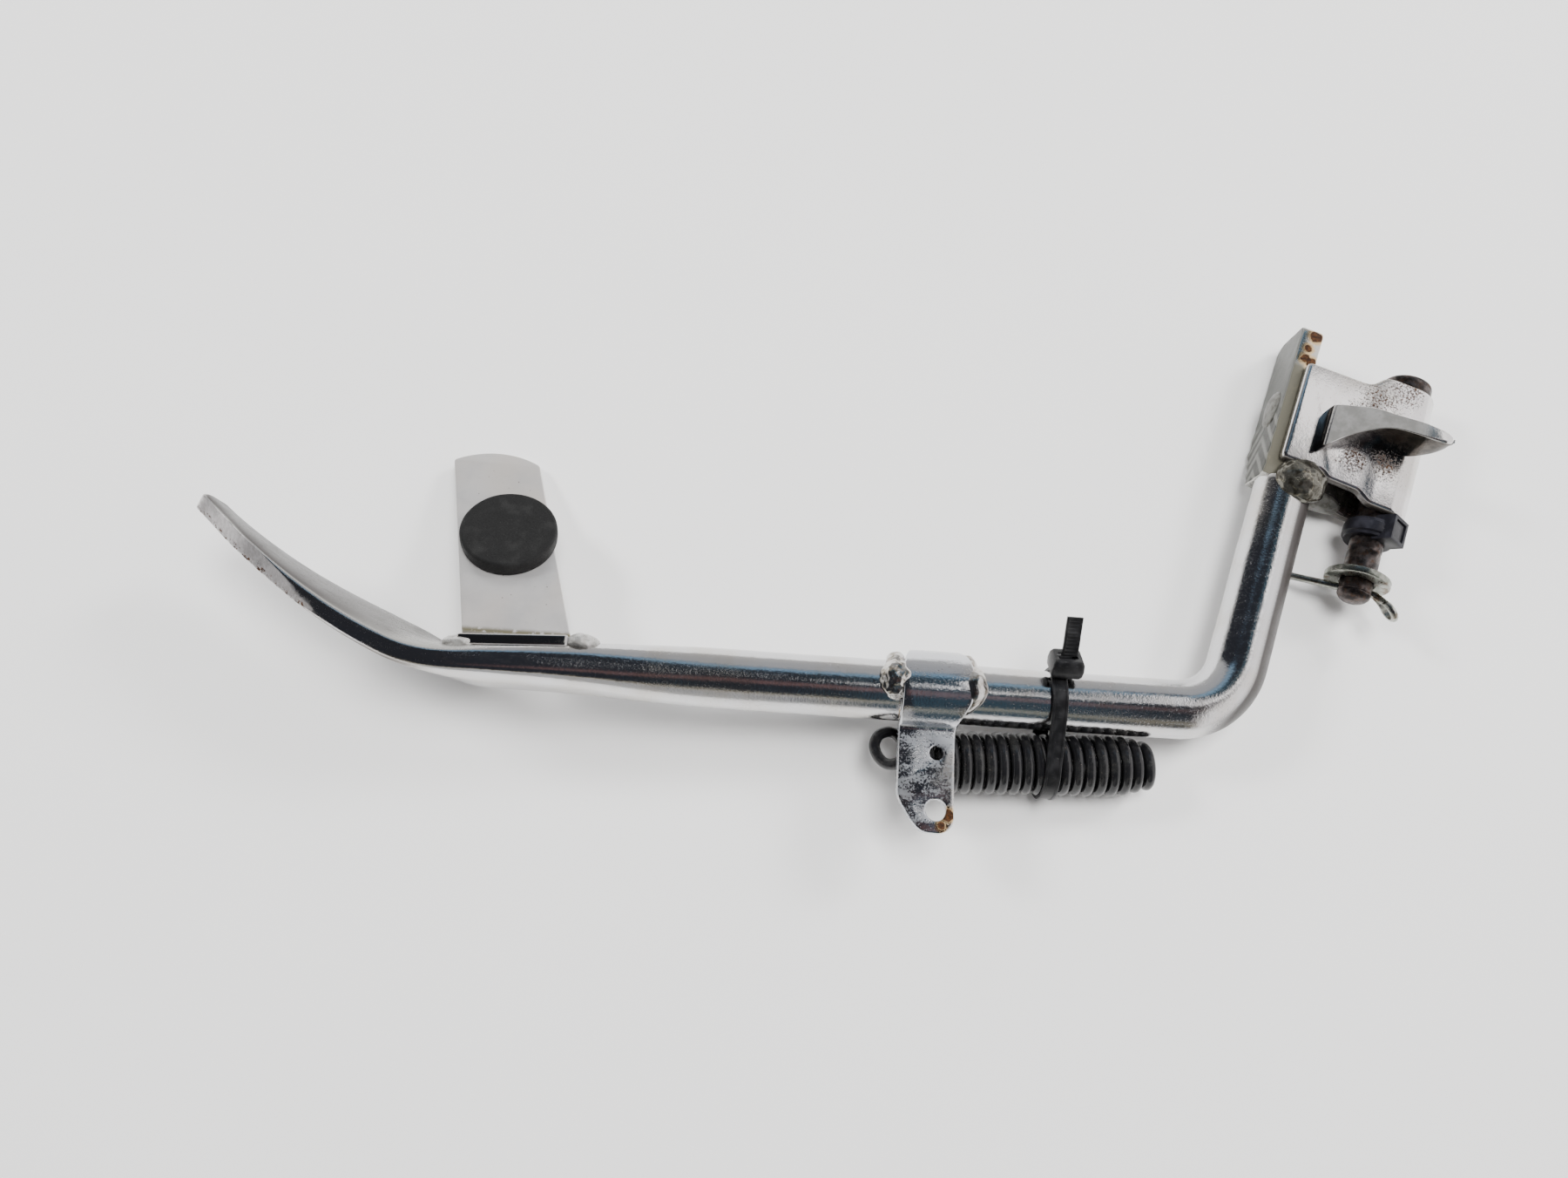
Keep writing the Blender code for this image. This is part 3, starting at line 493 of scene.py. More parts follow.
class Graph:
    """Short words for the nodes of a material or of the world."""

    def __init__(self, tree):
        self.tree = tree

    def link(self, source, socket):
        """Feed a socket from a number, a colour or another socket."""
        if isinstance(source, (int, float)):
            socket.default_value = source
        elif isinstance(source, tuple):
            socket.default_value = source if len(source) == len(socket.default_value) else (*source, 1.0)
        else:
            self.tree.links.new(source, socket)

    def math(self, operation, a, b=0.0):
        """A sum of one or two values, which are numbers or sockets."""
        node = self.tree.nodes.new("ShaderNodeMath")
        node.operation = operation
        self.link(a, node.inputs[0])
        self.link(b, node.inputs[1])
        return node.outputs[0]

    def vector(self, operation, a, b):
        """A vector operation on a linked a and a constant b."""
        node = self.tree.nodes.new("ShaderNodeVectorMath")
        node.operation = operation
        self.tree.links.new(a, node.inputs[0])
        node.inputs[1].default_value = b
        return node

    def times(self, a, b):
        return self.math("MULTIPLY", a, b)

    def plus(self, a, b):
        return self.math("ADD", a, b)

    def ramp(self, value, low, high, start=0.0, end=1.0):
        """Smooth change from start to end while the value goes from low to high."""
        node = self.tree.nodes.new("ShaderNodeMapRange")
        node.interpolation_type = "SMOOTHSTEP"
        self.link(value, node.inputs["Value"])
        node.inputs["From Min"].default_value = low
        node.inputs["From Max"].default_value = high
        node.inputs["To Min"].default_value = start
        node.inputs["To Max"].default_value = end
        return node.outputs[0]

    def hump(self, value, middle, reach):
        """1 at the middle value, falling smoothly to 0 at reach on both sides."""
        away = self.math("ABSOLUTE", self.math("SUBTRACT", value, middle))
        return self.ramp(away, 0.0, reach, 1.0, 0.0)

    def plateau(self, value, middle, half, soft):
        """1 within half of the middle value, with soft flanks."""
        away = self.math("ABSOLUTE", self.math("SUBTRACT", value, middle))
        return self.ramp(away, half - soft, half + soft, 1.0, 0.0)

    def mix(self, share, a, b, blend="MIX"):
        node = self.tree.nodes.new("ShaderNodeMix")
        node.data_type = "RGBA"
        node.blend_type = blend
        self.link(share, node.inputs[0])
        self.link(a, node.inputs[6])
        self.link(b, node.inputs[7])
        return node.outputs[2]


class Shader(Graph):
    """A principled material whose patterns are measured in millimetres on the piece itself."""

    def __init__(self, name):
        self.material = bpy.data.materials.new(name)
        self.material.use_nodes = True
        super().__init__(self.material.node_tree)
        self.color = None
        self.rough = 0.5
        self.normal = None
        coordinates = self.tree.nodes.new("ShaderNodeTexCoord")
        self.place = self.vector("MULTIPLY", coordinates.outputs["Object"], (1.0 / MM,) * 3).outputs[0]
        self.facing = coordinates.outputs["Normal"]

    def made(self, metallic, specular=0.5):
        """Hand over the finished material."""
        sockets = self.tree.nodes["Principled BSDF"].inputs
        self.link(self.color, sockets["Base Color"])
        self.link(self.rough, sockets["Roughness"])
        self.link(self.normal, sockets["Normal"])
        self.link(metallic, sockets["Metallic"])
        sockets["Specular IOR Level"].default_value = specular
        return self.material

    def coat(self, mask, color):
        """Lay a colour over what is there, where the mask is 1."""
        self.color = self.mix(mask, self.color, color)

    def rougher(self, amount):
        self.rough = self.plus(self.rough, amount)

    def dent(self, height, strength, depth):
        """Lay a bump of that depth in millimetres over what is there."""
        node = self.tree.nodes.new("ShaderNodeBump")
        node.inputs["Strength"].default_value = strength
        node.inputs["Distance"].default_value = depth * MM
        self.tree.links.new(height, node.inputs["Height"])
        if self.normal:
            self.tree.links.new(self.normal, node.inputs["Normal"])
        self.normal = node.outputs["Normal"]

    def part_of(self, vector, axis):
        """The X, Y or Z of a vector, for axis 0, 1 or 2."""
        node = self.tree.nodes.new("ShaderNodeSeparateXYZ")
        self.tree.links.new(vector, node.inputs[0])
        return node.outputs[axis]

    def placed(self, axis):
        """Where the point is along an axis of the piece, in millimetres."""
        return self.part_of(self.place, axis)

    def faces(self, axis):
        """How far the surface faces along an axis of the piece, from -1 to 1."""
        return self.part_of(self.facing, axis)

    def stretched(self, x, y, z):
        """Coordinates squeezed along each axis, for streaks."""
        return self.vector("MULTIPLY", self.place, (x, y, z)).outputs[0]

    def noise(self, size, detail=3.0, roughness=0.55, place=None, distortion=0.0):
        """Cloudy noise with features of that size in millimetres."""
        node = self.tree.nodes.new("ShaderNodeTexNoise")
        node.inputs["Scale"].default_value = 1.0 / size
        node.inputs["Detail"].default_value = detail
        node.inputs["Roughness"].default_value = roughness
        node.inputs["Distortion"].default_value = distortion
        self.tree.links.new(place or self.place, node.inputs["Vector"])
        return node.outputs["Fac"]

    def patches(self, size, low, high, *noise_settings):
        """0 to 1 while noise of that size goes from low to high."""
        return self.ramp(self.noise(size, *noise_settings), low, high)

    def cells(self, size):
        """Distance to the nearest of scattered points, about size millimetres apart."""
        node = self.tree.nodes.new("ShaderNodeTexVoronoi")
        node.inputs["Scale"].default_value = 1.0 / size
        self.tree.links.new(self.place, node.inputs["Vector"])
        return node.outputs["Distance"]

    def near(self, point, inner, outer):
        """1 within inner millimetres of the point, falling to 0 at outer."""
        distance = self.vector("DISTANCE", self.place, point).outputs["Value"]
        return self.ramp(distance, inner, outer, 1.0, 0.0)

    def mark(self, name):
        """A value stored on the mesh's points."""
        node = self.tree.nodes.new("ShaderNodeAttribute")
        node.attribute_name = name
        return node.outputs["Fac"]


RUST_DARK = (0.020, 0.009, 0.005)
RUST_LIGHT = (0.080, 0.034, 0.013)
RUST_STAIN = (0.66, 0.48, 0.27)


def any_of(shader, masks):
    """The strongest of several masks."""
    result = masks[0]
    for item in masks[1:]:
        result = shader.math("MAXIMUM", result, item)
    return result


def plated(name, tint=(0.66, 0.66, 0.67), gloss=0.10, haze=0.16, grain=0.35, specks=0.08, rust=(), dots=(),
           streaks=(0.04, 1.0, 1.0), film=(0.60, 0.57, 0.53), worn=None, paint=None, frosting=0.0):
    """Old chrome: hazy patches, frosty grain, fine scratches, dark pits, and rust where it is named.

    rust and dots hold (point, inner, outer) in millimetres: full rust there, or dense rusty dots.
    worn names the mesh's marks of a face rubbed pale, which has grime where NAME_edge is marked.
    paint lays more colours over the shader's own and gives back where they are dull.
    frosting is the share of dull bluish bloom on the tab's flat end, beyond FROST_Y.
    """
    shader = Shader(name)
    clouds = shader.noise(14.0, 4.0)
    smear = shader.noise(2.6, 3.0, place=shader.stretched(*streaks))
    frost = shader.noise(0.55, 2.0, 0.7)
    scratch = shader.ramp(shader.noise(0.5, 2.0, 0.6, place=shader.stretched(*streaks)), 0.62, 0.72)
    pits = shader.ramp(shader.cells(0.9), 0.16, 0.09)
    pit_area = shader.ramp(shader.noise(7.0, 3.0), 0.56 - specks, 0.70 - specks)
    pits = shader.times(pits, pit_area)
    shader.color = shader.mix(shader.ramp(clouds, 0.38, 0.68, 0.0, 0.75), tint, film)
    shader.coat(shader.times(pits, 0.85), (0.06, 0.045, 0.035))
    shader.rough = shader.ramp(clouds, 0.35, 0.72, gloss, haze)
    shader.rougher(shader.ramp(smear, 0.45, 0.75, 0.0, 0.09))
    shader.rougher(shader.times(scratch, 0.08))
    metallic = 1.0
    shader.rougher(shader.ramp(frost, 0.5, 0.7, 0.0, 0.12 * grain))
    shader.dent(frost, 0.30 * grain, 0.10)
    shader.dent(clouds, 0.10, 0.8)
    shader.dent(pits, -0.5, 0.06)
    if paint:
        dull = paint(shader)
        metallic = shader.ramp(dull, 0.0, 1.0, 1.0, 0.15)
        shader.rougher(shader.times(dull, 0.2))
    if frosting:
        bloom = shader.plus(shader.noise(3.2, 4.0, 0.6, place=shader.stretched(*streaks), distortion=0.5),
                            shader.times(shader.math("SUBTRACT", frost, 0.5), 0.7))
        bloom = shader.times(shader.ramp(bloom, 0.44, 0.64), frosting)
        bloom = shader.times(bloom, shader.ramp(shader.placed(1), *FROST_Y))
        shader.coat(bloom, (0.40, 0.43, 0.47))
        shader.rougher(shader.times(bloom, 0.42))
        metallic = shader.times(metallic, shader.ramp(bloom, 0.0, 1.0, 1.0, 0.75))
    rusty = []
    if dots:
        area = any_of(shader, [shader.near(*spot) for spot in dots])
        fine = shader.noise(0.62, 4.0, 0.68)
        broad = shader.noise(3.4, 3.0, 0.6)
        amount = shader.plus(fine, shader.times(area, 0.22))
        amount = shader.plus(amount, shader.times(broad, 0.22))
        rusty.append(shader.times(shader.ramp(amount, 0.80, 0.90), shader.ramp(area, 0.02, 0.3)))
    if rust:
        area = any_of(shader, [shader.near(*spot) for spot in rust])
        edge = shader.plus(area, shader.times(shader.noise(1.7, 4.0, 0.65), 0.7))
        rusty.append(shader.ramp(edge, 1.00, 1.22))
        shader.coat(shader.ramp(edge, 0.40, 1.00), RUST_STAIN)
    if worn:
        rub = shader.times(shader.mark(worn), shader.patches(3.0, 0.22, 0.40, 3.0))
        hatch = shader.noise(0.9, 3.0, 0.7, place=shader.stretched(1.0, 0.5, 0.5))
        pale = shader.mix(shader.ramp(hatch, 0.35, 0.7), (0.66, 0.63, 0.63), (0.88, 0.85, 0.86))
        shader.coat(rub, pale)
        shader.rougher(shader.times(rub, 0.22))
        shader.dent(hatch, 0.22, 0.10)
        rusty.append(shader.times(shader.mark(worn + "_edge"), shader.patches(1.3, 0.50, 0.60, 4.0, 0.7)))
    if rusty:
        rusty = any_of(shader, rusty)
        tone = shader.mix(shader.patches(0.8, 0.35, 0.65, 3.0, 0.6), RUST_DARK, RUST_LIGHT)
        shader.coat(rusty, tone)
        shader.rougher(shader.times(rusty, 0.5))
        metallic = shader.times(metallic, shader.ramp(rusty, 0.0, 1.0, 1.0, 0.15))
        shader.dent(shader.times(rusty, shader.noise(0.5, 3.0, 0.7)), 0.6, 0.15)
    return shader.made(metallic)


def paint_rod(shader):
    """Painted shade on the upright's right edge, a painted dull grey reflection on the blade's broad face,
    and its near edge brown.
    """
    # Painted shade: right-facing parts of the upright darken towards their outline as seen from the
    # camera.
    rim = shader.tree.nodes.new("ShaderNodeLayerWeight")
    rim.inputs["Blend"].default_value = 0.5
    rightward = shader.ramp(shader.faces(0), 0.15, 0.45)
    shade = shader.times(shader.ramp(rim.outputs["Facing"], 0.22, 0.38), rightward)
    blade = shader.ramp(shader.placed(0), *BLADE_X)
    farward = shader.faces(1)
    # Painted reflection: the blade's far-facing broad face is coloured a dull grey.
    broad = shader.times(blade, shader.ramp(farward, 0.25, 0.60))
    keel = shader.times(shader.ramp(shader.placed(0), *KEEL_X), shader.ramp(farward, -0.70, -0.92))
    shader.coat(broad, (0.27, 0.265, 0.25))
    shader.coat(keel, (0.10, 0.075, 0.055))
    shader.coat(shade, (0.045, 0.04, 0.038))
    return any_of(shader, [shade, shader.times(broad, 0.75), keel])


def paint_plate(shader):
    """Olive far edge, and the near edge darkened as a painted shadow line."""
    along = shader.faces(1)
    far_edge = shader.ramp(along, 0.30, 0.65)
    # Painted shadow: the plate's near-facing edge is coloured dark.
    near_edge_shadow = shader.ramp(along, -0.55, -0.90)
    shader.coat(far_edge, (0.17, 0.16, 0.12))
    shader.coat(near_edge_shadow, (0.10, 0.09, 0.08))
    return shader.times(any_of(shader, [far_edge, near_edge_shadow]), 0.8)


def paint_bar(shader):
    """Olive-grey painted reflection on the near part of the top edge, and V-shaped marks on a dark left
    face whose lighter crests are painted highlights.
    """
    along = shader.placed(1)
    top = shader.ramp(shader.faces(2), 0.55, 0.85)
    # Painted reflection: olive-grey on the near part of the top edge.
    film = shader.times(top, shader.ramp(along, *TOP_REFLECTION_S))
    left = shader.ramp(shader.faces(0), -0.55, -0.85)
    slant = shader.math("ABSOLUTE", shader.plus(shader.placed(2), V_DEPTH))
    wave = shader.plus(shader.times(along, 1.1), shader.times(slant, 1.3))
    wave = shader.plus(wave, shader.noise(3.0, 3.0))
    # Painted highlights: the left face's ripple crests are coloured lighter.
    crest_highlights = shader.ramp(shader.math("SINE", wave), -0.2, 0.9)
    tone = shader.mix(crest_highlights, (0.045, 0.045, 0.038), (0.16, 0.16, 0.145))
    tone = shader.mix(shader.ramp(along, 14.0, 24.0), tone, (0.09, 0.092, 0.083))
    shader.coat(film, (0.135, 0.127, 0.098))
    shader.coat(left, tone)
    return shader.math("MAXIMUM", shader.times(film, 0.7), left)


def forged_lug():
    """Satin top, dark glossy flanks with brown specks, and a pale edge between them; the flanks' dark is
    painted shade, and the pale edge and nose are painted highlights.
    """
    shader = Shader("forged_lug")
    upward = shader.faces(2)
    top = shader.ramp(upward, 0.74, 0.93)
    edge = shader.hump(upward, 0.66, 0.26)
    grain = shader.noise(0.5, 3.0, 0.7)
    clouds = shader.noise(3.5, 3.0, 0.6)
    specks = shader.times(shader.ramp(grain, 0.58, 0.68), shader.ramp(clouds, 0.40, 0.62))
    # Painted shade: the flanks are coloured dark.
    shaded_flank = shader.mix(shader.ramp(clouds, 0.35, 0.65), (0.055, 0.05, 0.045), (0.11, 0.10, 0.09))
    shaded_flank = shader.mix(specks, shaded_flank, (0.075, 0.042, 0.025))
    crown = shader.mix(shader.ramp(clouds, 0.35, 0.65), (0.19, 0.185, 0.175), (0.26, 0.255, 0.245))
    crown = shader.mix(shader.times(specks, 0.4), crown, (0.13, 0.105, 0.09))
    nose = shader.ramp(shader.placed(0), -4.0, 1.0)
    top = shader.times(top, shader.math("SUBTRACT", 1.0, shader.times(nose, 0.85)))
    # Painted highlight: the nose's sides are coloured pale.
    shaded_flank = shader.mix(shader.times(nose, shader.ramp(upward, 0.3, 0.7)), shaded_flank, (0.80, 0.79, 0.78))
    # Painted highlight: a pale band along the edge between the top and the flanks.
    shader.color = shader.mix(edge, shader.mix(top, shaded_flank, crown), (0.84, 0.83, 0.82))
    shader.rough = shader.ramp(top, 0.0, 1.0, 0.13, 0.36)
    shader.rougher(shader.ramp(grain, 0.4, 0.7, 0.0, 0.06))
    shader.dent(grain, 0.22, 0.10)
    shader.dent(clouds, 0.15, 0.6)
    return shader.made(shader.ramp(top, 0.0, 1.0, 1.0, 0.35))


def satin_plate():
    """Brushed and dulled plating of the prop strip, with a warm tint and a dark line of painted shade in
    the crease at its bend.
    """
    shader = Shader("satin_plate")
    brush = shader.noise(0.5, 3.0, 0.6, place=shader.stretched(1.0, 0.06, 0.06))
    clouds = shader.noise(9.0, 4.0)
    stain = shader.noise(26.0, 2.0)
    shader.color = shader.mix(shader.ramp(clouds, 0.35, 0.7), (0.56, 0.545, 0.535), (0.48, 0.475, 0.475))
    shader.coat(shader.ramp(stain, 0.42, 0.70, 0.0, 0.6), (0.56, 0.51, 0.465))
    specks = shader.times(shader.ramp(shader.cells(1.6), 0.14, 0.08), shader.patches(5.0, 0.52, 0.66))
    shader.coat(specks, (0.10, 0.07, 0.05))
    shader.rough = shader.ramp(clouds, 0.35, 0.7, 0.26, 0.36)
    shader.rougher(shader.times(brush, 0.10))
    shader.dent(brush, 0.16, 0.08)
    shader.dent(clouds, 0.10, 0.6)
    crest = shader.times(shader.ramp(shader.placed(1), STRIP_CREASE_Y, STRIP_CREASE_Y - 1.2),
                        shader.ramp(shader.faces(2), 0.80, 0.97))
    shader.coat(crest, (0.36, 0.35, 0.33))
    shader.rough = shader.times(shader.rough, shader.ramp(crest, 0.0, 1.0, 1.0, 0.4))
    # Painted shade: a patchy dark olive line along the bend's crease.
    crease_patches = shader.patches(1.4, 0.30, 0.50, 3.0)
    crease_shade = shader.times(shader.hump(shader.placed(1), STRIP_CREASE_Y, 1.6), crease_patches)
    shader.coat(crease_shade, (0.17, 0.155, 0.10))
    return shader.made(shader.ramp(crest, 0.0, 1.0, 0.6, 1.0))


def weld_metal(name, tint, hollow, gloss, relief, metallic=1.0, squiggle=0.0):
    """Plated weld metal: rippled, with burnt hollows and sometimes thin broken yellow lines."""
    shader = Shader(name)
    lumps = shader.noise(1.9, 3.0, 0.55, distortion=0.6)
    ripple = shader.noise(0.7, 2.0, 0.5, distortion=1.2)
    shader.color = shader.mix(shader.ramp(lumps, 0.34, 0.58), hollow, tint)
    if squiggle:
        curl = shader.noise(4.5, 1.0, 0.4, distortion=0.8)
        line = shader.times(shader.hump(curl, 0.5, 0.030), shader.ramp(ripple, 0.40, 0.62))
        shader.coat(shader.times(line, squiggle), (0.86, 0.78, 0.54))
    shader.rough = shader.ramp(ripple, 0.3, 0.7, gloss, gloss + 0.13)
    shader.dent(lumps, relief, 0.5)
    shader.dent(ripple, relief * 0.3, 0.2)
    return shader.made(metallic)


def worn_steel():
    """Oiled dark steel of the clevis pin, rubbed bright in rings, with brown stains."""
    shader = Shader("worn_steel")
    rings = shader.noise(0.5, 3.0, 0.6, place=shader.stretched(0.08, 1.0, 0.08))
    patches = shader.noise(2.4, 4.0, 0.6)
    brown = shader.patches(1.6, 0.50, 0.66, 4.0, 0.65)
    shader.color = shader.mix(shader.ramp(patches, 0.35, 0.65), (0.032, 0.028, 0.027), (0.13, 0.11, 0.105))
    shader.coat(shader.times(brown, 0.6), (0.10, 0.055, 0.034))
    shader.rough = shader.ramp(patches, 0.3, 0.7, 0.44, 0.30)
    shader.rougher(shader.times(brown, 0.15))
    shader.dent(rings, 0.30, 0.08)
    shader.dent(patches, 0.25, 0.2)
    return shader.made(0.95)


def zinc(name, tint, dull):
    """Zinc plating gone dull, greenish in places, bright where it was rubbed."""
    shader = Shader(name)
    bloom = shader.noise(1.3, 4.0, 0.6)
    patches = shader.noise(4.0, 3.0)
    shader.color = shader.mix(shader.ramp(bloom, 0.38, 0.66), tint, dull)
    shader.coat(shader.ramp(patches, 0.56, 0.70, 0.0, 0.8), (0.17, 0.115, 0.075))
    shader.rough = shader.ramp(bloom, 0.3, 0.7, 0.20, 0.42)
    shader.dent(bloom, 0.20, 0.12)
    shader.dent(shader.noise(0.3, 2.0), 0.10, 0.05)
    return shader.made(1.0)


def black_rubber():
    """Matte black rubber with moulding grain, dust and pale specks of lint."""
    shader = Shader("black_rubber")
    grain = shader.noise(0.35, 3.0, 0.7)
    dust = shader.patches(5.0, 0.48, 0.72, 4.0, 0.6)
    lint = shader.ramp(shader.cells(1.1), 0.12, 0.06)
    shader.color = shader.mix(dust, (0.009, 0.009, 0.009), (0.015, 0.015, 0.0148))
    shader.coat(shader.times(lint, 0.35), (0.07, 0.07, 0.068))
    shader.rough = shader.ramp(grain, 0.3, 0.7, 0.62, 0.80)
    shader.dent(grain, 0.35, 0.12)
    return shader.made(0.0, 0.35)


def spring_coating():
    """Thick gloss black dip coating, slightly orange-peeled and dusty."""
    shader = Shader("spring_coating")
    peel = shader.noise(1.1, 2.0, 0.5)
    dust = shader.patches(6.0, 0.45, 0.70, 4.0, 0.65)
    scuff = shader.patches(0.9, 0.64, 0.72, 3.0, 0.7)
    shader.color = shader.mix(dust, (0.008, 0.008, 0.009), (0.018, 0.018, 0.0175))
    shader.coat(shader.times(scuff, 0.5), (0.09, 0.07, 0.06))
    shader.rough = shader.ramp(dust, 0.0, 1.0, 0.14, 0.30)
    shader.dent(peel, 0.16, 0.25)
    return shader.made(0.0, 0.42)


def moulded(name, color, rough_low, rough_high, grain_size=0.3):
    """Black moulded plastic with a fine spark-eroded grain, flow marks and small scratches."""
    shader = Shader(name)
    grain = shader.noise(grain_size, 2.0, 0.6)
    flow = shader.noise(3.0, 3.0, 0.5)
    nick = shader.ramp(shader.noise(0.45, 2.0, 0.6, place=shader.stretched(0.3, 1.0, 1.0)), 0.66, 0.74)
    lighter = tuple(min(1.0, channel * 2.0 + 0.003) for channel in color)
    shader.color = shader.mix(shader.ramp(flow, 0.40, 0.70), color, lighter)
    shader.coat(shader.times(nick, 0.30), (0.12, 0.12, 0.12))
    shader.rough = shader.ramp(flow, 0.35, 0.7, rough_low, rough_high)
    shader.dent(grain, 0.18, 0.06)
    shader.dent(flow, 0.10, 0.3)
    return shader.made(0.0, 0.3)


def sintered():
    """Dark sintered magnet block with fine pores."""
    shader = Shader("sintered_block")
    pores = shader.ramp(shader.cells(0.5), 0.2, 0.1)
    tone = shader.noise(0.8, 3.0)
    shader.color = shader.mix(tone, (0.035, 0.035, 0.038), (0.10, 0.10, 0.105))
    shader.dent(pores, -0.4, 0.05)
    shader.rough = shader.ramp(tone, 0.3, 0.7, 0.4, 0.6)
    return shader.made(0.7)


def place_piece(piece, body, slot, material, node):
    """Give the piece its material, hang it on its body's empty and hide the imported part it stands for.
    """
    piece.data.materials.clear()
    piece.data.materials.append(material)
    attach(piece, body)
    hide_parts(node)


# ---------------------------------------------------------------- leg rod

def rod_stations():
    """Middle points of the rod and their headings, from the head down to the foot's tip."""
    heading = Vector((math.cos(UPRIGHT_HEADING), math.sin(UPRIGHT_HEADING)))
    drop = (UPRIGHT_END.y - RUN_Y) / heading.y
    corner = UPRIGHT_END - heading * drop
    tangent = BEND_RADIUS * math.tan(UPRIGHT_HEADING / 2.0)
    line = Fold(UPRIGHT_END, UPRIGHT_HEADING + math.pi)
    line.run(drop - tangent)
    line.bend(BEND_RADIUS, -math.degrees(UPRIGHT_HEADING))
    line.run((corner.x - tangent) - FOOT_BEND_X)
    for radius, degrees in FOOT_BENDS:
        line.bend(radius, degrees)
    count = int(line.length / STATION_STEP)
    return [line.at(line.length * i / count) for i in range(count + 1)]


def rod_size(x, foot_share):
    """Thickness in the plane, height across it, squareness and twist of the rod at x."""
    flat = smooth_step((x - FLATTEN_START_X) / (FLATTEN_END_X - FLATTEN_START_X))
    thickness = mix(2.0 * ROD_RADIUS, FOOT_THICKNESS, flat)
    thickness += (FOOT_TIP_THICKNESS - FOOT_THICKNESS) * foot_share
    height = mix(2.0 * ROD_RADIUS, FOOT_HEIGHT, flat)
    height *= 1.0 - 0.32 * smooth_step((foot_share - 0.8) / 0.2)
    twist = FOOT_TWIST * smooth_step(foot_share * 3.2)
    twist += (FOOT_TIP_TWIST - FOOT_TWIST) * smooth_step(foot_share * 1.6 - 0.6)
    return thickness, height, 2.0 + 1.9 * flat, twist


def rod_section(thickness, height, power, twist):
    """A ring of points between a circle, for power 2, and a rounded bar."""
    section = []
    for i in range(ROD_SIDES):
        angle = 2.0 * math.pi * (i + 0.5) / ROD_SIDES
        cos_a = math.cos(angle)
        sin_a = math.sin(angle)
        u = math.copysign(abs(cos_a) ** (2.0 / power), cos_a) * thickness / 2.0
        v = math.copysign(abs(sin_a) ** (2.0 / power), sin_a) * height / 2.0
        section.append(Vector((u * math.cos(twist) + v * math.sin(twist),
                               v * math.cos(twist) - u * math.sin(twist))))
    return section


def wear_facet(section, depth):
    """Flatten the section's far upper side; each point gets marks for worn and for its low edge."""
    facet = Vector((math.sin(FACET_ANGLE), math.cos(FACET_ANGLE)))
    facet_side = Vector((facet.y, -facet.x))
    limit = max(point.dot(facet) for point in section) - depth
    lowest = max(point.dot(facet_side) for point in section if point.dot(facet) > limit - 0.2)
    flattened = []
    marks = []
    for point in section:
        over = point.dot(facet) - limit
        low = point.dot(facet_side) > lowest - 1.5
        worn = 1.0 if depth > 0.12 and over > 0.0 else 0.0
        edge = 1.0 if depth > 0.2 and over > -0.9 and low else 0.0
        flattened.append(point - facet * over if over > 0.0 else point)
        marks.append((worn, edge))
    return flattened, marks


def make_leg_rod():
    """The rod swept along its stations, with its marks of wear stored on the points."""
    stations = rod_stations()
    end_x = stations[-1][0].x
    rings = []
    marks = []
    for point, heading in stations:
        foot_share = min(max((point.x - FOOT_BEND_X) / (end_x - FOOT_BEND_X), 0.0), 1.0)
        lean = smooth_step((point.x - FOOT_OFFSET_START_X) / (FLATTEN_END_X - FOOT_OFFSET_START_X))
        across = Vector((-math.sin(heading), math.cos(heading), 0.0))
        middle = Vector((point.x, point.y, 0.0)) + across * (FOOT_OFFSET * lean)
        depth = FACET_DEPTH * smooth_step((foot_share - 0.48) / 0.30)
        section, ring_marks = wear_facet(rod_section(*rod_size(point.x, foot_share)), depth)
        rings.append([middle + across * spot.x + Vector((0.0, 0.0, spot.y)) for spot in section])
        marks.append(ring_marks)
    builder = bmesh.new()
    worn_layer = builder.verts.layers.float.new("worn")
    edge_layer = builder.verts.layers.float.new("worn_edge")
    rows = skin(builder, domed(rings, 1.8, ROD_CAP_STEPS))
    for row, ring_marks in zip(rows[ROD_CAP_STEPS:], marks):
        for vert, (worn, edge) in zip(row, ring_marks):
            vert[worn_layer] = worn
            vert[edge_layer] = edge
    for row in rows[-ROD_CAP_STEPS:]:
        for vert, (worn, _) in zip(row, marks[-1]):
            vert[worn_layer] = worn
    roughen(builder, 22.0, 0.10, 3.0)
    roughen(builder, 5.0, 0.025, 9.0)
    return add_piece("leg_rod_fine", builder, LEG, SOFT_ANGLE)


# ---------------------------------------------------------------- prop strip and bumper

def strip_fold():
    """Middle line of the strip: down the flange, round the bend and down the slope."""
    radius = STRIP_BEND_RADIUS
    turn = math.pi / 2.0 - STRIP_SLOPE
    bend_end_y = FLANGE_Y + radius * (1.0 - math.cos(turn))
    bend_end_z = STRIP_END.y + (STRIP_END.x - bend_end_y) * math.tan(STRIP_SLOPE)
    bend_start_z = bend_end_z + radius * math.sin(turn)
    fold = Fold((FLANGE_Y, FLANGE_TOP), -math.pi / 2.0)
    fold.run(FLANGE_TOP - bend_start_z)
    fold.bend(radius, math.degrees(turn))
    fold.run((STRIP_END.x + STRIP_TIP_RISE - bend_end_y) / math.cos(STRIP_SLOPE))
    return fold


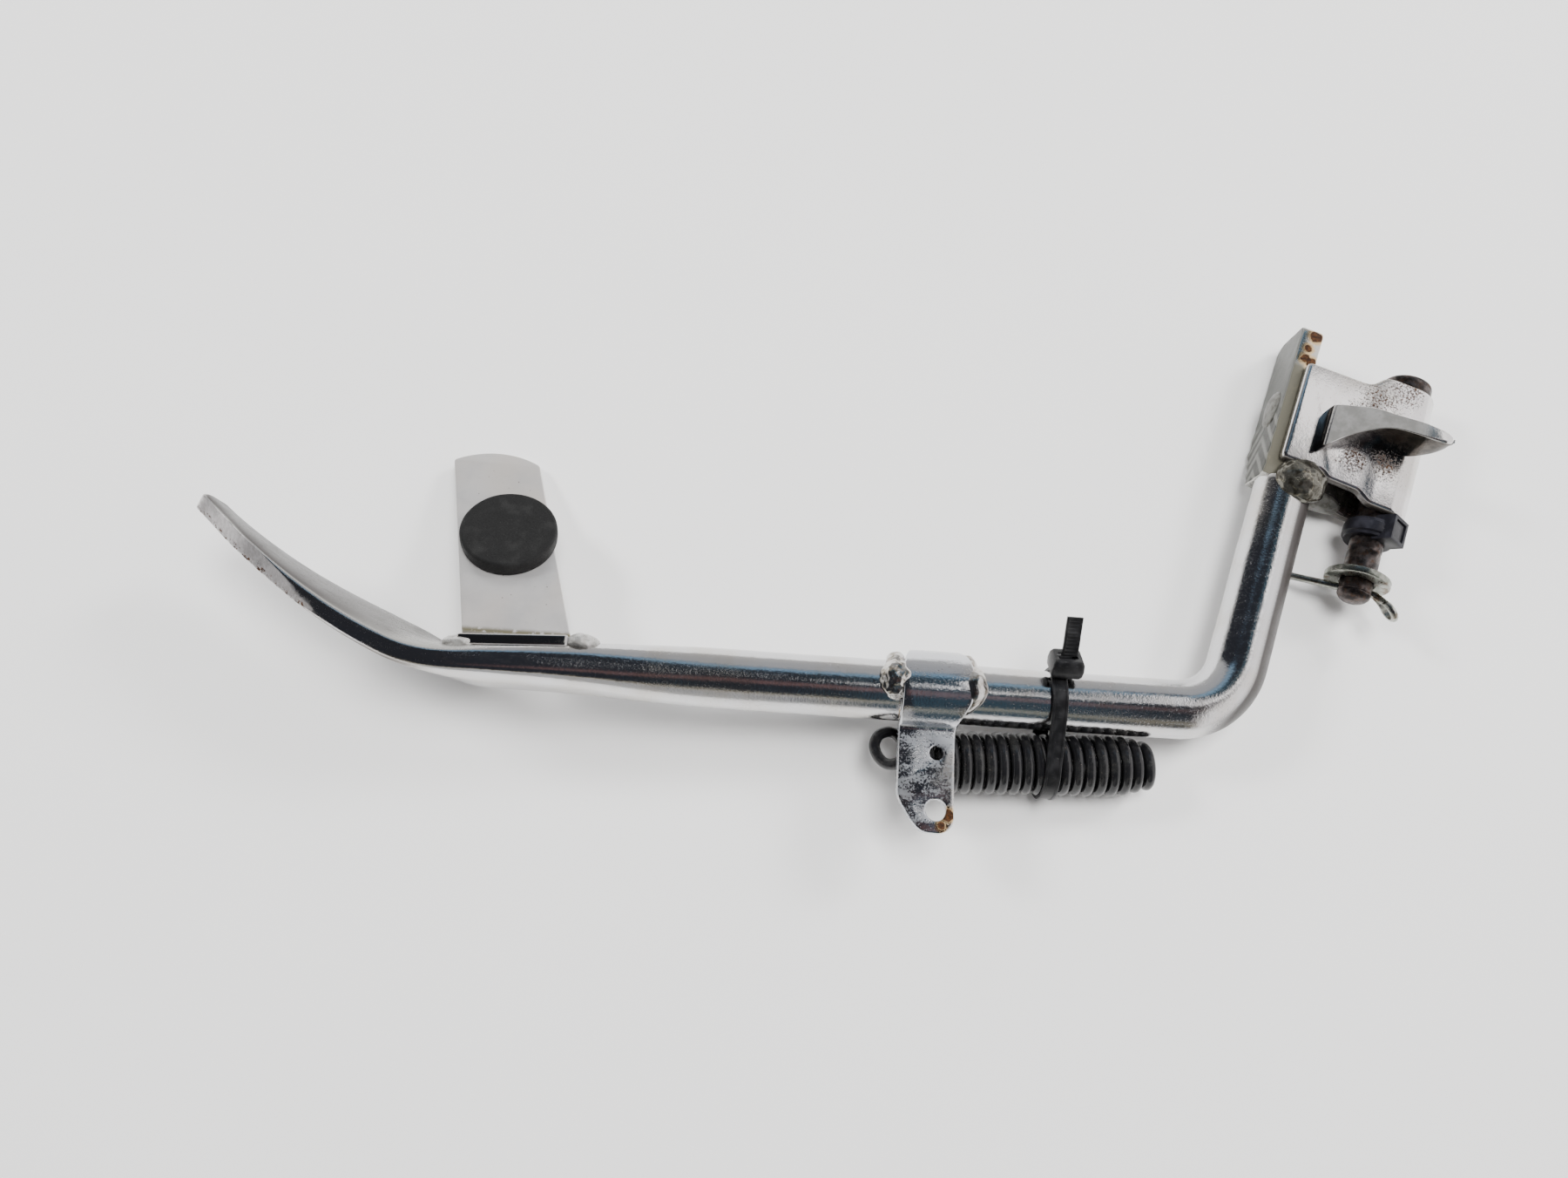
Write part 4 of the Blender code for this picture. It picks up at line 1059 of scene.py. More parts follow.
def make_bumper_strip():
    """The strip drawn flat with its round tip and the bumper's hole, and then folded."""
    fold = strip_fold()
    end = fold.length
    start_slope = fold.parts[2][0]
    rise = STRIP_TIP_RISE / math.cos(STRIP_SLOPE)
    half = (STRIP_RIGHT - STRIP_LEFT) / 2.0
    radius = (half ** 2 + rise ** 2) / (2.0 * rise)
    sweep = math.degrees(math.asin(half / radius))
    middle_x = (STRIP_LEFT + STRIP_RIGHT) / 2.0
    outline = [(FLANGE_LEFT, 0.0), (FLANGE_LEFT, start_slope)]
    outline += arc((middle_x, end - radius), radius, 90.0 + sweep, 90.0 - sweep, 16)
    outline += [(FLANGE_RIGHT, start_slope), (FLANGE_RIGHT, 0.0)]
    outline = fillet_loop(outline, 0.9, 3)
    hole_y = start_slope + (BUMPER_POINT.y - fold.parts[2][2].x) / math.cos(STRIP_SLOPE)
    hole = circle((BUMPER_POINT.x, hole_y), BUMPER_HOLE)
    cuts = fold.bend_cuts(5.0) + [start_slope + 6.0 * i for i in range(1, 11)]
    builder = slab([outline, hole], STRIP_THICKNESS, 0.45, cuts)
    roughen(builder, 30.0, 0.12, 1.0)

    def place(across, first, second):
        skew = FLANGE_SKEW * (1.0 - smooth_step((first - FLANGE_Y) / SKEW_REACH))
        return Vector((across, first + skew * (across - FLANGE_MIDDLE_X), second))

    fold.wrap(builder, place)
    return add_piece("prop_strip_fine", builder, LEG)


def bumper_matrix():
    lift = STRIP_THICKNESS / 2.0
    height = STRIP_END.y + (STRIP_END.x - BUMPER_POINT.y) * math.tan(STRIP_SLOPE)
    spot = Vector((BUMPER_POINT.x, BUMPER_POINT.y + lift * math.sin(STRIP_SLOPE),
                   height + lift * math.cos(STRIP_SLOPE)))
    return LEG @ Matrix.Translation(spot * MM) @ Matrix.Rotation(-STRIP_SLOPE, 4, "X")


def make_rubber_bumper():
    """The button, its stem through the strip and the bulb that holds it."""
    under = -STRIP_THICKNESS - 0.1
    profile = [(0.0, BUMPER_HEIGHT - 0.15), (6.0, BUMPER_HEIGHT - 0.05),
               (BUMPER_RADIUS - 1.0, BUMPER_HEIGHT)]
    profile += arc((BUMPER_RADIUS - 0.9, BUMPER_HEIGHT - 0.9), 0.9, 80.0, 0.0, 6)
    profile += [(BUMPER_RADIUS + 0.05, 1.8), (BUMPER_RADIUS - 0.15, 0.4), (BUMPER_RADIUS - 0.6, 0.05),
                (4.1, 0.05), (4.0, -0.5), (4.0, under)]
    profile += fillet([(4.0, under), (5.6, under), (5.2, under - 2.0), (3.0, under - 3.2),
                       (0.0, under - 3.4)], 0.8)[1:]
    builder = bmesh.new()
    turned(builder, profile, 96, "Z")
    roughen(builder, 6.0, 0.06, 5.0)
    return add_piece("rubber_bumper_fine", builder, bumper_matrix(), SOFT_ANGLE)


# ---------------------------------------------------------------- spring tab

def make_spring_tab():
    """A strap over the rod with a flat end beyond it, drawn flat and then folded."""
    middle = ROD_RADIUS + TAB_GAP + TAB_THICKNESS / 2.0
    start = math.radians(TAB_START)
    fold = Fold((RUN_Y + middle * math.cos(start), middle * math.sin(start)), start + math.pi / 2.0)
    fold.bend(middle, 180.0)
    fold.bend(TAB_BEND_RADIUS, -90.0 - TAB_START)
    flat = fold.length
    flat_y = fold.point.x
    fold.run(30.0)

    def along(y):
        return flat + flat_y - y

    wrap_end = fold.parts[1][0]
    outline = [(-132.5, 0.0), (-133.0, 6.0), (-135.0, 11.5), (-136.0, 15.0), (-136.0, along(-87.3))]
    outline += [(-132.2, along(-93.4)), (-129.4, along(-96.1)), (-124.0, along(-96.3))]
    outline += [(-121.2, along(-94.2)), (-121.2, flat + 1.0), (-120.6, wrap_end - 1.0)]
    outline += [(-117.6, wrap_end - 7.0), (-117.2, 17.0), (-118.2, 11.0), (-121.0, 6.0), (-122.5, 0.0)]
    outline = fillet_loop(outline, 1.8, 4)
    holes = []
    for x, y, radius in TAB_HOLES:
        holes.append(circle((x, along(y)), radius))
    builder = slab([outline] + holes, TAB_THICKNESS, 0.55, fold.bend_cuts(4.0))
    fold.wrap(builder, lambda across, first, second: Vector((across, first, second)))
    roughen(builder, 9.0, 0.05, 2.0)
    return add_piece("spring_tab_fine", builder, LEG)


# ---------------------------------------------------------------- return spring

def make_return_spring():
    """A hook that runs into a close coil, which narrows at its far end."""
    steps = 44
    total = int(SPRING_TURNS * steps)
    coil = []
    for i in range(total + 1):
        turns = i / steps
        left = SPRING_TURNS - turns
        radius = SPRING_RADIUS - SPRING_TAPER * smooth_step(1.0 - left / 3.0)
        radius += 0.05 * math.sin(turns * 1.7)
        angle = 2.0 * math.pi * turns + math.pi / 2.0
        along = SPRING_PITCH * turns + 0.05 * math.sin(turns * 2.9)
        middle_y = SPRING_Y + SPRING_SLOPE * along
        coil.append(Vector((SPRING_START_X + along, middle_y + radius * math.cos(angle),
                            SPRING_Z + radius * math.sin(angle))))
    hook = [(-133.6, -70.4, -8.6), (-134.8, -69.4, -8.3), (-137.0, -69.1, -7.9), (-139.5, -70.4, -7.3),
            (-140.6, -73.2, -6.6), (-139.8, -76.1, -5.5), (-137.8, -78.2, -3.6), (-135.4, -78.3, -1.3),
            tuple(coil[0]), tuple(coil[4])]
    points = spline(hook, 8)[:-9] + coil
    builder = bmesh.new()
    rings = sweep_rings(points, round_section(SPRING_WIRE, 18), Vector((0.3, 0.2, 1.0)))
    skin(builder, domed(rings, 0.8, 3))
    return add_piece("return_spring_fine", builder, LEG, BEAD_ANGLE)


# ---------------------------------------------------------------- cable tie

def tie_points():
    """Middle line of the strap from the tail's tip to the head, and where the tail ends."""
    lift = 0.12 + TIE_THICKNESS / 2.0
    rod = Vector((RUN_Y, 0.0))
    spring = Vector((SPRING_Y + SPRING_SLOPE * (TIE_X - SPRING_START_X), SPRING_Z))
    rod_r = ROD_RADIUS + lift
    spring_r = SPRING_RADIUS + SPRING_WIRE + lift
    line = spring - rod
    away = math.degrees(math.atan2(line.y, line.x)) % 360.0
    skew = math.degrees(math.asin((rod_r - spring_r) / line.length))
    head = math.degrees(TIE_HEAD_ANGLE)
    outward = Vector((math.cos(TIE_HEAD_ANGLE), math.sin(TIE_HEAD_ANGLE)))
    tail_way = Vector((math.cos(TIE_TAIL_ANGLE), math.sin(TIE_TAIL_ANGLE)))
    # The tail comes out of the head's top; the loop starts and ends inside the head.
    tail_start = rod + outward * 16.7
    tail = [tail_start + tail_way * length for length in (9.0, 6.5, 4.0, 1.5)]
    tail += [rod + outward * radius for radius in (15.2, 13.0, 11.2)]
    loop = [polar(rod, 9.6, head + 4.0)]
    loop += arc(rod, rod_r + 0.1, head + 14.0, away - 90.0 + skew, 16)
    loop += arc(spring, spring_r, away - 90.0 + skew, away + 90.0 - skew, 40)
    loop += arc(rod, rod_r, away + 90.0 - skew, 360.0 + head - 26.0, 26)
    loop += [polar(rod, 9.5, head - 17.0), polar(rod, 11.4, head - 12.5)]
    smooth_tail = spline([tuple(point) for point in tail] + [loop[0], loop[1]], 20)[:-20]
    return [(point.x, point.y) for point in smooth_tail] + loop[1:], len(smooth_tail)


def make_cable_tie():
    """The strap, with raised rims and with teeth on its tail."""
    line, tail_count = tie_points()
    half = TIE_WIDTH / 2.0
    rim = 0.62
    builder = bmesh.new()
    rings = []
    distance = 0.0
    for i, (y, z) in enumerate(line):
        before = Vector(line[max(i - 1, 0)])
        after = Vector(line[min(i + 1, len(line) - 1)])
        run = (after - before).normalized()
        normal = Vector((run.y, -run.x))
        if i:
            distance += (Vector((y, z)) - Vector(line[i - 1])).length
        share = i / len(line)
        shift = 0.5 * max(0.0, 1.0 - i / tail_count) - 1.4 * math.sin(math.pi * share) * (share > 0.35)
        tooth = 0.0
        if i < tail_count - 10:
            tooth = 0.26 * abs(math.sin(math.pi * distance / 0.95))
        outer = TIE_THICKNESS / 2.0
        floor_out = outer - 0.22 + tooth * 0.8
        right = [(half - 0.2, -outer), (half, -outer + 0.15), (half, outer - 0.15), (half - 0.18, outer),
                 (half - rim, outer), (half - rim - 0.15, floor_out)]
        left = [(-across, out) for across, out in right]
        profile = [left[1], left[0]] + right + left[:1:-1]
        middle = Vector((y, z))
        ring = []
        for across, out in profile:
            spot = middle + normal * out
            ring.append(Vector((TIE_X + shift + across, spot.x, spot.y)))
        rings.append(ring)
    skin(builder, rings)
    return add_piece("cable_tie_strap", builder, LEG, math.radians(35.0))


def make_tie_head():
    """The tie's square head with chamfered ends and a window for the strap."""
    spot = Matrix.Translation(Vector((TIE_X, RUN_Y, 0.0)) * MM)
    lean = LEG @ spot @ Matrix.Rotation(TIE_HEAD_ANGLE - math.pi / 2.0, 4, "X")
    levels = ((9.9, 3.7, 3.1), (10.6, 4.15, 3.5), (12.4, 4.3, 3.7), (14.2, 4.1, 3.5), (15.2, 3.6, 3.0))
    builder = bmesh.new()
    rings = []
    for z, half_x, half_y in levels:
        corners = [(-half_x, -half_y), (half_x, -half_y), (half_x, half_y), (-half_x, half_y)]
        rings.append([(x, y, z) for x, y in fillet_loop(corners, 0.9, 3)])
    skin(builder, rings)
    head = add_piece("cable_tie_head", builder, lean)
    boolean(head, box_piece("window", (-2.5, -1.3, 8.0), (2.5, 1.1, 17.0), lean), "DIFFERENCE")
    bevelled(head, 0.25, 2, 30.0)
    settle(head)
    return head


# ---------------------------------------------------------------- head

def make_head_bar():
    """The flat bar on edge, rippled where the weld's heat reached its left face."""
    low_round = 4.0
    top_round = 2.5
    outline = [(BAR_LOW, BAR_BOTTOM + 4.5), (BAR_LOW + 11.0, BAR_BOTTOM)]
    outline += arc((BAR_HIGH - low_round, BAR_BOTTOM + low_round), low_round, -90.0, 0.0, 14)
    outline += arc((BAR_HIGH - top_round, BAR_TOP - top_round), top_round, 0.0, 90.0, 10)
    outline.append((BAR_LOW, BAR_TOP))
    cuts = [BAR_BOTTOM + 1.3 * i for i in range(1, 13)]
    builder = slab([outline], BAR_RIGHT - BAR_LEFT, 0.7, cuts)
    for i in range(1, 32):
        everything = builder.verts[:] + builder.edges[:] + builder.faces[:]
        bmesh.ops.bisect_plane(builder, geom=everything, dist=1e-4, plane_co=(BAR_LOW + 1.5 * i, 0.0, 0.0),
                               plane_no=(1.0, 0.0, 0.0))
    middle = (BAR_LEFT + BAR_RIGHT) / 2.0
    for vert in builder.verts:
        along, up, depth = vert.co
        ripple = 0.0
        if depth > 2.0:
            ripple = 0.16 * math.sin(along * 1.1 + abs(up + V_DEPTH) * 1.3)
            ripple *= smooth_step((24.0 - along) / 14.0)
            ripple += 0.10 * noise.noise(Vector((along, up, 0.0)) / 2.5)
        vert.co = Vector((middle - depth - ripple, along, up))
    return add_piece("head_bar_fine", builder, PIVOT)


def make_head_plate():
    """One sheet: top plate, round the pin, bottom plate; drawn flat and then folded."""
    bend = KNUCKLE_RADIUS - SHEET / 2.0
    fold = Fold((PLATE_LEFT, bend), 0.0)
    fold.run(-PLATE_LEFT)
    fold.bend(bend, -180.0)
    fold.run(-BAR_RIGHT - 0.3)
    top = -PLATE_LEFT
    bottom = fold.parts[2][0]
    end = fold.length
    high = [(PLATE_HIGH, 0.0), (PLATE_HIGH, top - 15.0), (35.2, top - 12.6), (38.4, top - 9.6),
            (KNUCKLE_HIGH, top - 7.0), (KNUCKLE_HIGH, bottom + 8.0), (PLATE_HIGH, bottom + 13.5),
            (PLATE_HIGH, end)]
    low = [(3.2, end), (3.0, bottom + 18.0), (1.4, bottom + 13.6), (-0.2, bottom + 11.0),
           (KNUCKLE_LOW, bottom + 7.4), (KNUCKLE_LOW, bottom), (KNUCKLE_LOW, top - 5.6),
           (0.2, top - 7.6), (1.5, top - 9.4), (1.7, top - 18.5), (3.4, top - 20.5), (3.2, 0.0)]
    outline = fillet_loop(high + low, 1.6, 5)
    builder = slab([outline], SHEET, 1.0, fold.bend_cuts(4.0))
    fold.wrap(builder, lambda across, first, second: Vector((first, across, second)))
    roughen(builder, 18.0, 0.10, 4.0)
    return add_piece("head_plate_fine", builder, PIVOT)


def make_stop_lug():
    """Forged lug: a low broad root on the left, swelling into a rolled nose over the knuckle."""
    base = KNUCKLE_RADIUS - 0.3
    stations = [
        (-24.3, 9.0, 20.8, base, 11.6), (-23.5, 8.3, 21.3, base, 13.2), (-19.0, 12.2, 22.0, base, 15.0),
        (-13.8, 15.4, 22.3, base, 17.0), (-9.2, 17.0, 21.6, base, 18.8), (-2.9, 16.8, 21.0, base, 20.8),
        (0.6, 16.4, 20.6, base + 0.3, 21.6), (3.8, 16.4, 20.2, 12.6, 22.0), (5.8, 17.0, 19.6, 16.6, 21.8),
        (6.7, 17.9, 18.9, 18.8, 21.0),
    ]
    rings = []
    for t, near, far, low, high in spline(stations, 7):
        nose = smooth_step((t + 4.0) / 9.0)
        section = []
        for corner_s, corner_z, start, radius in (
                (far, high, 0.0, 0.5 + 0.5 * nose), (near, high, 90.0, 0.5 + 0.5 * nose),
                (near, low, 180.0, 0.4 + 0.4 * nose), (far, low, 270.0, 0.4 + 0.4 * nose)):
            inward = (-1.0 if corner_s == far else 1.0, -1.0 if corner_z == high else 1.0)
            center = (corner_s + inward[0] * radius, corner_z + inward[1] * radius)
            section += [Vector((t, u, v)) for u, v in arc(center, radius, start, start + 90.0, 6)]
        rings.append(section)
    builder = bmesh.new()
    skin(builder, domed(rings, 0.6, 5))
    roughen(builder, 6.0, 0.10, 6.0)
    return add_piece("stop_lug_fine", builder, PIVOT, SOFT_ANGLE)


# ---------------------------------------------------------------- pin, collar, washer, split pin

def split_matrix():
    hole = Matrix.Translation(Vector((0.0, SPLIT_PIN_S, 0.0)) * MM)
    return PIVOT @ hole @ Matrix.Rotation(-SPLIT_ROLL, 4, "Y")


def make_clevis_pin():
    """The pin with its head, its rounded and rubbed nose, and the split pin's hole."""
    low = KNUCKLE_HIGH + 0.3
    high = low + 4.6
    nose = ((0.0, 0.0), (1.6, 0.12), (2.9, 0.55), (3.7, 1.1), (4.2, 1.75), (4.42, 2.3), (4.2, 2.45),
            (4.2, 2.75), (PIN_RADIUS, 2.95))
    rubbed = PIN_RADIUS - 0.12
    profile = [(radius, PIN_END + rise) for radius, rise in nose]
    profile += [(PIN_RADIUS, -12.4), (rubbed, -12.2), (rubbed, -11.4), (PIN_RADIUS, -11.2),
                (PIN_RADIUS, low - 0.2), (PIN_RADIUS + 0.2, low)]
    head = [(PIN_HEAD_RADIUS - 0.3, low), (PIN_HEAD_RADIUS, low + 0.3), (PIN_HEAD_RADIUS, high - 1.7)]
    head += arc((PIN_HEAD_RADIUS - 1.5, high - 1.7), 1.5, 0.0, 72.0, 7)
    builder = bmesh.new()
    turned(builder, profile + head + [(3.0, high + 0.15), (0.0, high + 0.2)], 80)
    pin = add_piece("clevis_pin_fine", builder, PIVOT)
    boolean(pin, rod_tool(1.45, -9.0, 9.0, split_matrix(), "X", 32), "DIFFERENCE")
    return pin


def make_washer():
    inner, outer, low, high, edge = 4.75, 8.75, -21.4, -19.4, 0.45
    profile = fillet_loop([(inner, low), (outer, low), (outer, high), (inner, high)], edge, 4)
    builder = bmesh.new()
    turned(builder, profile, 96, joined=True)
    roughen(builder, 5.0, 0.03, 7.0)
    return add_piece("flat_washer_fine", builder, PIVOT, SOFT_ANGLE)


def make_split_pin():
    """Half-round wire: two legs lying flat to flat and an eye bent towards the pin's end."""
    offset = 0.12
    tip = -21.3
    eye = Vector((9.6, -3.6))
    out = Vector((0.72, -0.69)).normalized()
    loop = []
    for i in range(13):
        angle = math.radians(-140.0 + 280.0 * i / 12)
        spot = eye + out * (2.45 * math.cos(angle))
        loop.append(Vector((spot.x, spot.y, -2.3 * math.sin(angle))))
    legs = []
    for sign, end in ((1.0, tip), (-1.0, tip + 1.2)):
        leg = [(end, 0.0), (-12.0, 0.0), (-4.0, 0.0), (3.0, 0.0), (5.0, -0.1), (6.4, -0.9)]
        legs.append([Vector((x, s, sign * (offset + (0.35 if x > 6.0 else 0.0)))) for x, s in leg])
    route = [tuple(point) for point in legs[0] + loop + legs[1][::-1]]
    points = spline(route, 6)
    radius = 1.0
    section = [(0.0, -radius + 0.1), (0.0, radius - 0.1)]
    section += [(-radius * math.sin(math.radians(a)), radius * math.cos(math.radians(a)))
                for a in (14.0, 35.0, 57.0, 79.0, 101.0, 123.0, 145.0, 166.0)]
    builder = bmesh.new()
    skin(builder, domed(sweep_rings(points, section, Vector((0.0, 0.0, -1.0))), 0.3, 2))
    return add_piece("split_pin_fine", builder, split_matrix(), math.radians(45.0))


def make_collar():
    """Moulded ring round the pin with a box lug; the lug's outer face has a pocket."""
    high, low, radius, bore = -3.4, -8.4, 7.1, 4.6
    rolled = PIVOT @ Matrix.Rotation(-COLLAR_ROLL, 4, "Y")
    profile = [(0.0, low), (radius - 0.7, low), (radius - 0.7, low + 0.9), (radius, low + 1.1),
               (radius, high - 1.0), (radius - 0.35, high - 0.8), (radius - 0.35, high), (0.0, high)]
    builder = bmesh.new()
    turned(builder, profile, 72)
    collar = add_piece("pin_collar_fine", builder, PIVOT)
    boolean(collar, box_piece("lug", (2.5, -9.1, -3.4), (8.9, -1.6, 3.4), rolled), "UNION")
    boolean(collar, rod_tool(bore, -14.0, 6.0, PIVOT, "Y", 72), "DIFFERENCE")
    boolean(collar, box_piece("pocket", (7.4, -8.1, -2.4), (12.0, -2.6, 2.4), rolled), "DIFFERENCE")
    bevelled(collar, 0.35, 3, 32.0)
    settle(collar)
    return collar


def make_magnet():
    rolled = PIVOT @ Matrix.Rotation(-COLLAR_ROLL, 4, "Y")
    magnet = box_piece("collar_magnet_fine", (7.5, -7.9, -2.2), (8.4, -2.8, 2.2), rolled)
    bevelled(magnet, 0.18, 2)
    return settle(magnet)


# ---------------------------------------------------------------- welds

def make_weld(name, matrix, center, radii, roughness, seed):
    """A bead of weld metal, frozen in lumps and fine ripples."""
    builder = bmesh.new()
    bmesh.ops.create_icosphere(builder, subdivisions=5, radius=1.0)
    for vert in builder.verts:
        way = vert.co.normalized()
        swell = 1.0 + roughness * noise.noise(way * 1.7 + Vector((seed, 0.0, seed)))
        swell += 0.35 * roughness * noise.noise(way * 4.5 + Vector((0.0, seed, 0.0)))
        local = Vector((way.x * radii[0], way.y * radii[1], way.z * radii[2])) * swell
        vert.co = Vector(center) + local
    return add_piece(name, builder, matrix, BEAD_ANGLE)


def make_arc_bead(name, radius, x, bulge, thin, thick, start, end, seed):
    """A bead laid round the rod from one angle to another, thickest and most bulged half way."""
    count = 40
    points = []
    scales = []
    for i in range(count + 1):
        share = i / count
        angle = math.radians(mix(start, end, share))
        swell = math.sin(math.pi * share)
        points.append(Vector((x + bulge * swell, RUN_Y + radius * math.cos(angle),
                              radius * math.sin(angle))))
        scales.append(mix(thin, thick, swell))
    builder = bmesh.new()
    rings = sweep_rings(points, round_section(1.0, 28), Vector((1.0, 0.0, 0.0)), scales)
    skin(builder, domed(rings, 1.2, 5))
    roughen(builder, 2.6, 0.28, seed)
    roughen(builder, 1.1, 0.07, seed + 3.0)
    return add_piece(name, builder, LEG, BEAD_ANGLE)


# ---------------------------------------------------------------- set

def make_floor():
    """A plain pale table top."""
    builder = bmesh.new()
    bmesh.ops.create_grid(builder, x_segments=1, y_segments=1, size=1600.0)
    floor = add_piece("table_top", builder, Matrix.Identity(4))
    shader = Shader("pale_table")
    tone = shader.noise(60.0, 4.0)
    shader.color = shader.mix(tone, (0.80, 0.795, 0.785), (0.83, 0.825, 0.815))
    shader.rough = 0.55
    shader.dent(shader.noise(2.0), 0.05, 0.1)
    floor.data.materials.append(shader.made(0.0, 0.3))


def add_panel(name, direction, distance, size, power):
    """A broad soft light that faces the middle of the kickstand and leaves no glint in the metal."""
    light = bpy.data.lights.new(name, "AREA")
    light.shape = "RECTANGLE"
    light.size, light.size_y = size
    light.energy = power
    lamp = bpy.data.objects.new(name, light)
    way = Vector(direction).normalized()
    lamp.location = way * distance
    lamp.rotation_euler = way.to_track_quat("Z", "Y").to_euler()
    lamp.visible_glossy = False
    bpy.context.scene.collection.objects.link(lamp)


def make_room():
    """What the plating mirrors, and the soft lights.

    There are pale walls, brighter on the right, and a dark ceiling with faint tinted strips, a
    window and a lamp.  A direction is measured by its shares along the leg frame's X, Y and Z.
    """
    world = bpy.data.worlds.new("studio")
    bpy.context.scene.world = world
    world.use_nodes = True
    graph = Graph(world.node_tree)
    coordinates = graph.tree.nodes.new("ShaderNodeTexCoord")
    shares = []
    for way in LEG.to_3x3().col:
        shares.append(graph.vector("DOT_PRODUCT", coordinates.outputs["Generated"], way).outputs["Value"])
    right, far, up = shares
    under_ceiling = graph.times(graph.ramp(right, -0.92, -0.82), graph.ramp(right, 0.56, 0.50))
    near_end = graph.math("MAXIMUM", graph.ramp(far, -0.90, -0.80), graph.ramp(right, 0.05, 0.15))
    across = graph.times(near_end, graph.ramp(far, 0.76, 0.66))
    window = graph.times(graph.plateau(right, 0.45, 0.08, 0.02), graph.plateau(far, 0.35, 0.24, 0.05))
    ceiling = graph.times(graph.times(under_ceiling, across), graph.ramp(up, 0.02, 0.12))
    walls = graph.mix(graph.ramp(up, 0.0, 0.5), (0.66, 0.655, 0.64), (0.52, 0.525, 0.54))
    walls = graph.mix(graph.ramp(right, 0.50, 0.56), walls, (1.65, 1.60, 1.60))
    color = graph.mix(ceiling, walls, (0.030, 0.032, 0.040))
    strips = (
        (graph.times(graph.hump(far, 0.62, 0.13), graph.plateau(right, 0.0, 0.34, 0.06)),
         (0.26, 0.42, 0.58)),
        (graph.times(graph.hump(far, 0.14, 0.10), graph.hump(right, 0.42, 0.12)), (0.35, 0.33, 0.40)),
        (graph.times(graph.hump(far, -0.22, 0.20), graph.hump(right, 0.16, 0.36)), (0.20, 0.10, 0.085)),
        (graph.times(graph.hump(far, -0.84, 0.10), under_ceiling), (0.26, 0.23, 0.16)),
        (graph.times(graph.hump(right, 0.22, 0.12), across), (0.03, 0.08, 0.11)),
    )
    for share, tint in strips:
        color = graph.mix(share, color, graph.mix(1.0, color, tint, "ADD"))
    color = graph.mix(window, color, (2.10, 2.05, 2.03))
    lamp = graph.times(graph.plateau(right, 0.22, 0.035, 0.02), graph.plateau(far, 0.12, 0.05, 0.03))
    color = graph.mix(graph.times(lamp, graph.ramp(up, 0.0, 0.1)), color, (3.6, 3.5, 3.4))
    background = graph.tree.nodes["Background"]
    graph.link(color, background.inputs["Color"])
    add_panel("overhead", (0.15, 0.1, 1.0), 1.5, (0.6, 0.6), 32.0)
    add_panel("left_fill", (-0.8, 0.35, 0.7), 1.4, (0.3, 0.3), 14.0)
    add_panel("right_fill", (0.8, 0.5, 0.7), 1.4, (0.3, 0.3), 12.0)


def make_camera():
    """The photograph's viewing angle."""
    data = bpy.data.cameras.new("camera")
    data.sensor_width = 36.0
    data.lens = CAMERA_LENS
    data.clip_start = 0.01
    camera = bpy.data.objects.new("camera", data)
    bpy.context.scene.collection.objects.link(camera)
    turn = Euler([math.radians(angle) for angle in CAMERA_TURN]).to_matrix().to_4x4()
    camera.matrix_world = LEG @ Matrix.Translation(CAMERA_PLACE * MM) @ turn
    bpy.context.scene.camera = camera


# ---------------------------------------------------------------- the kickstand

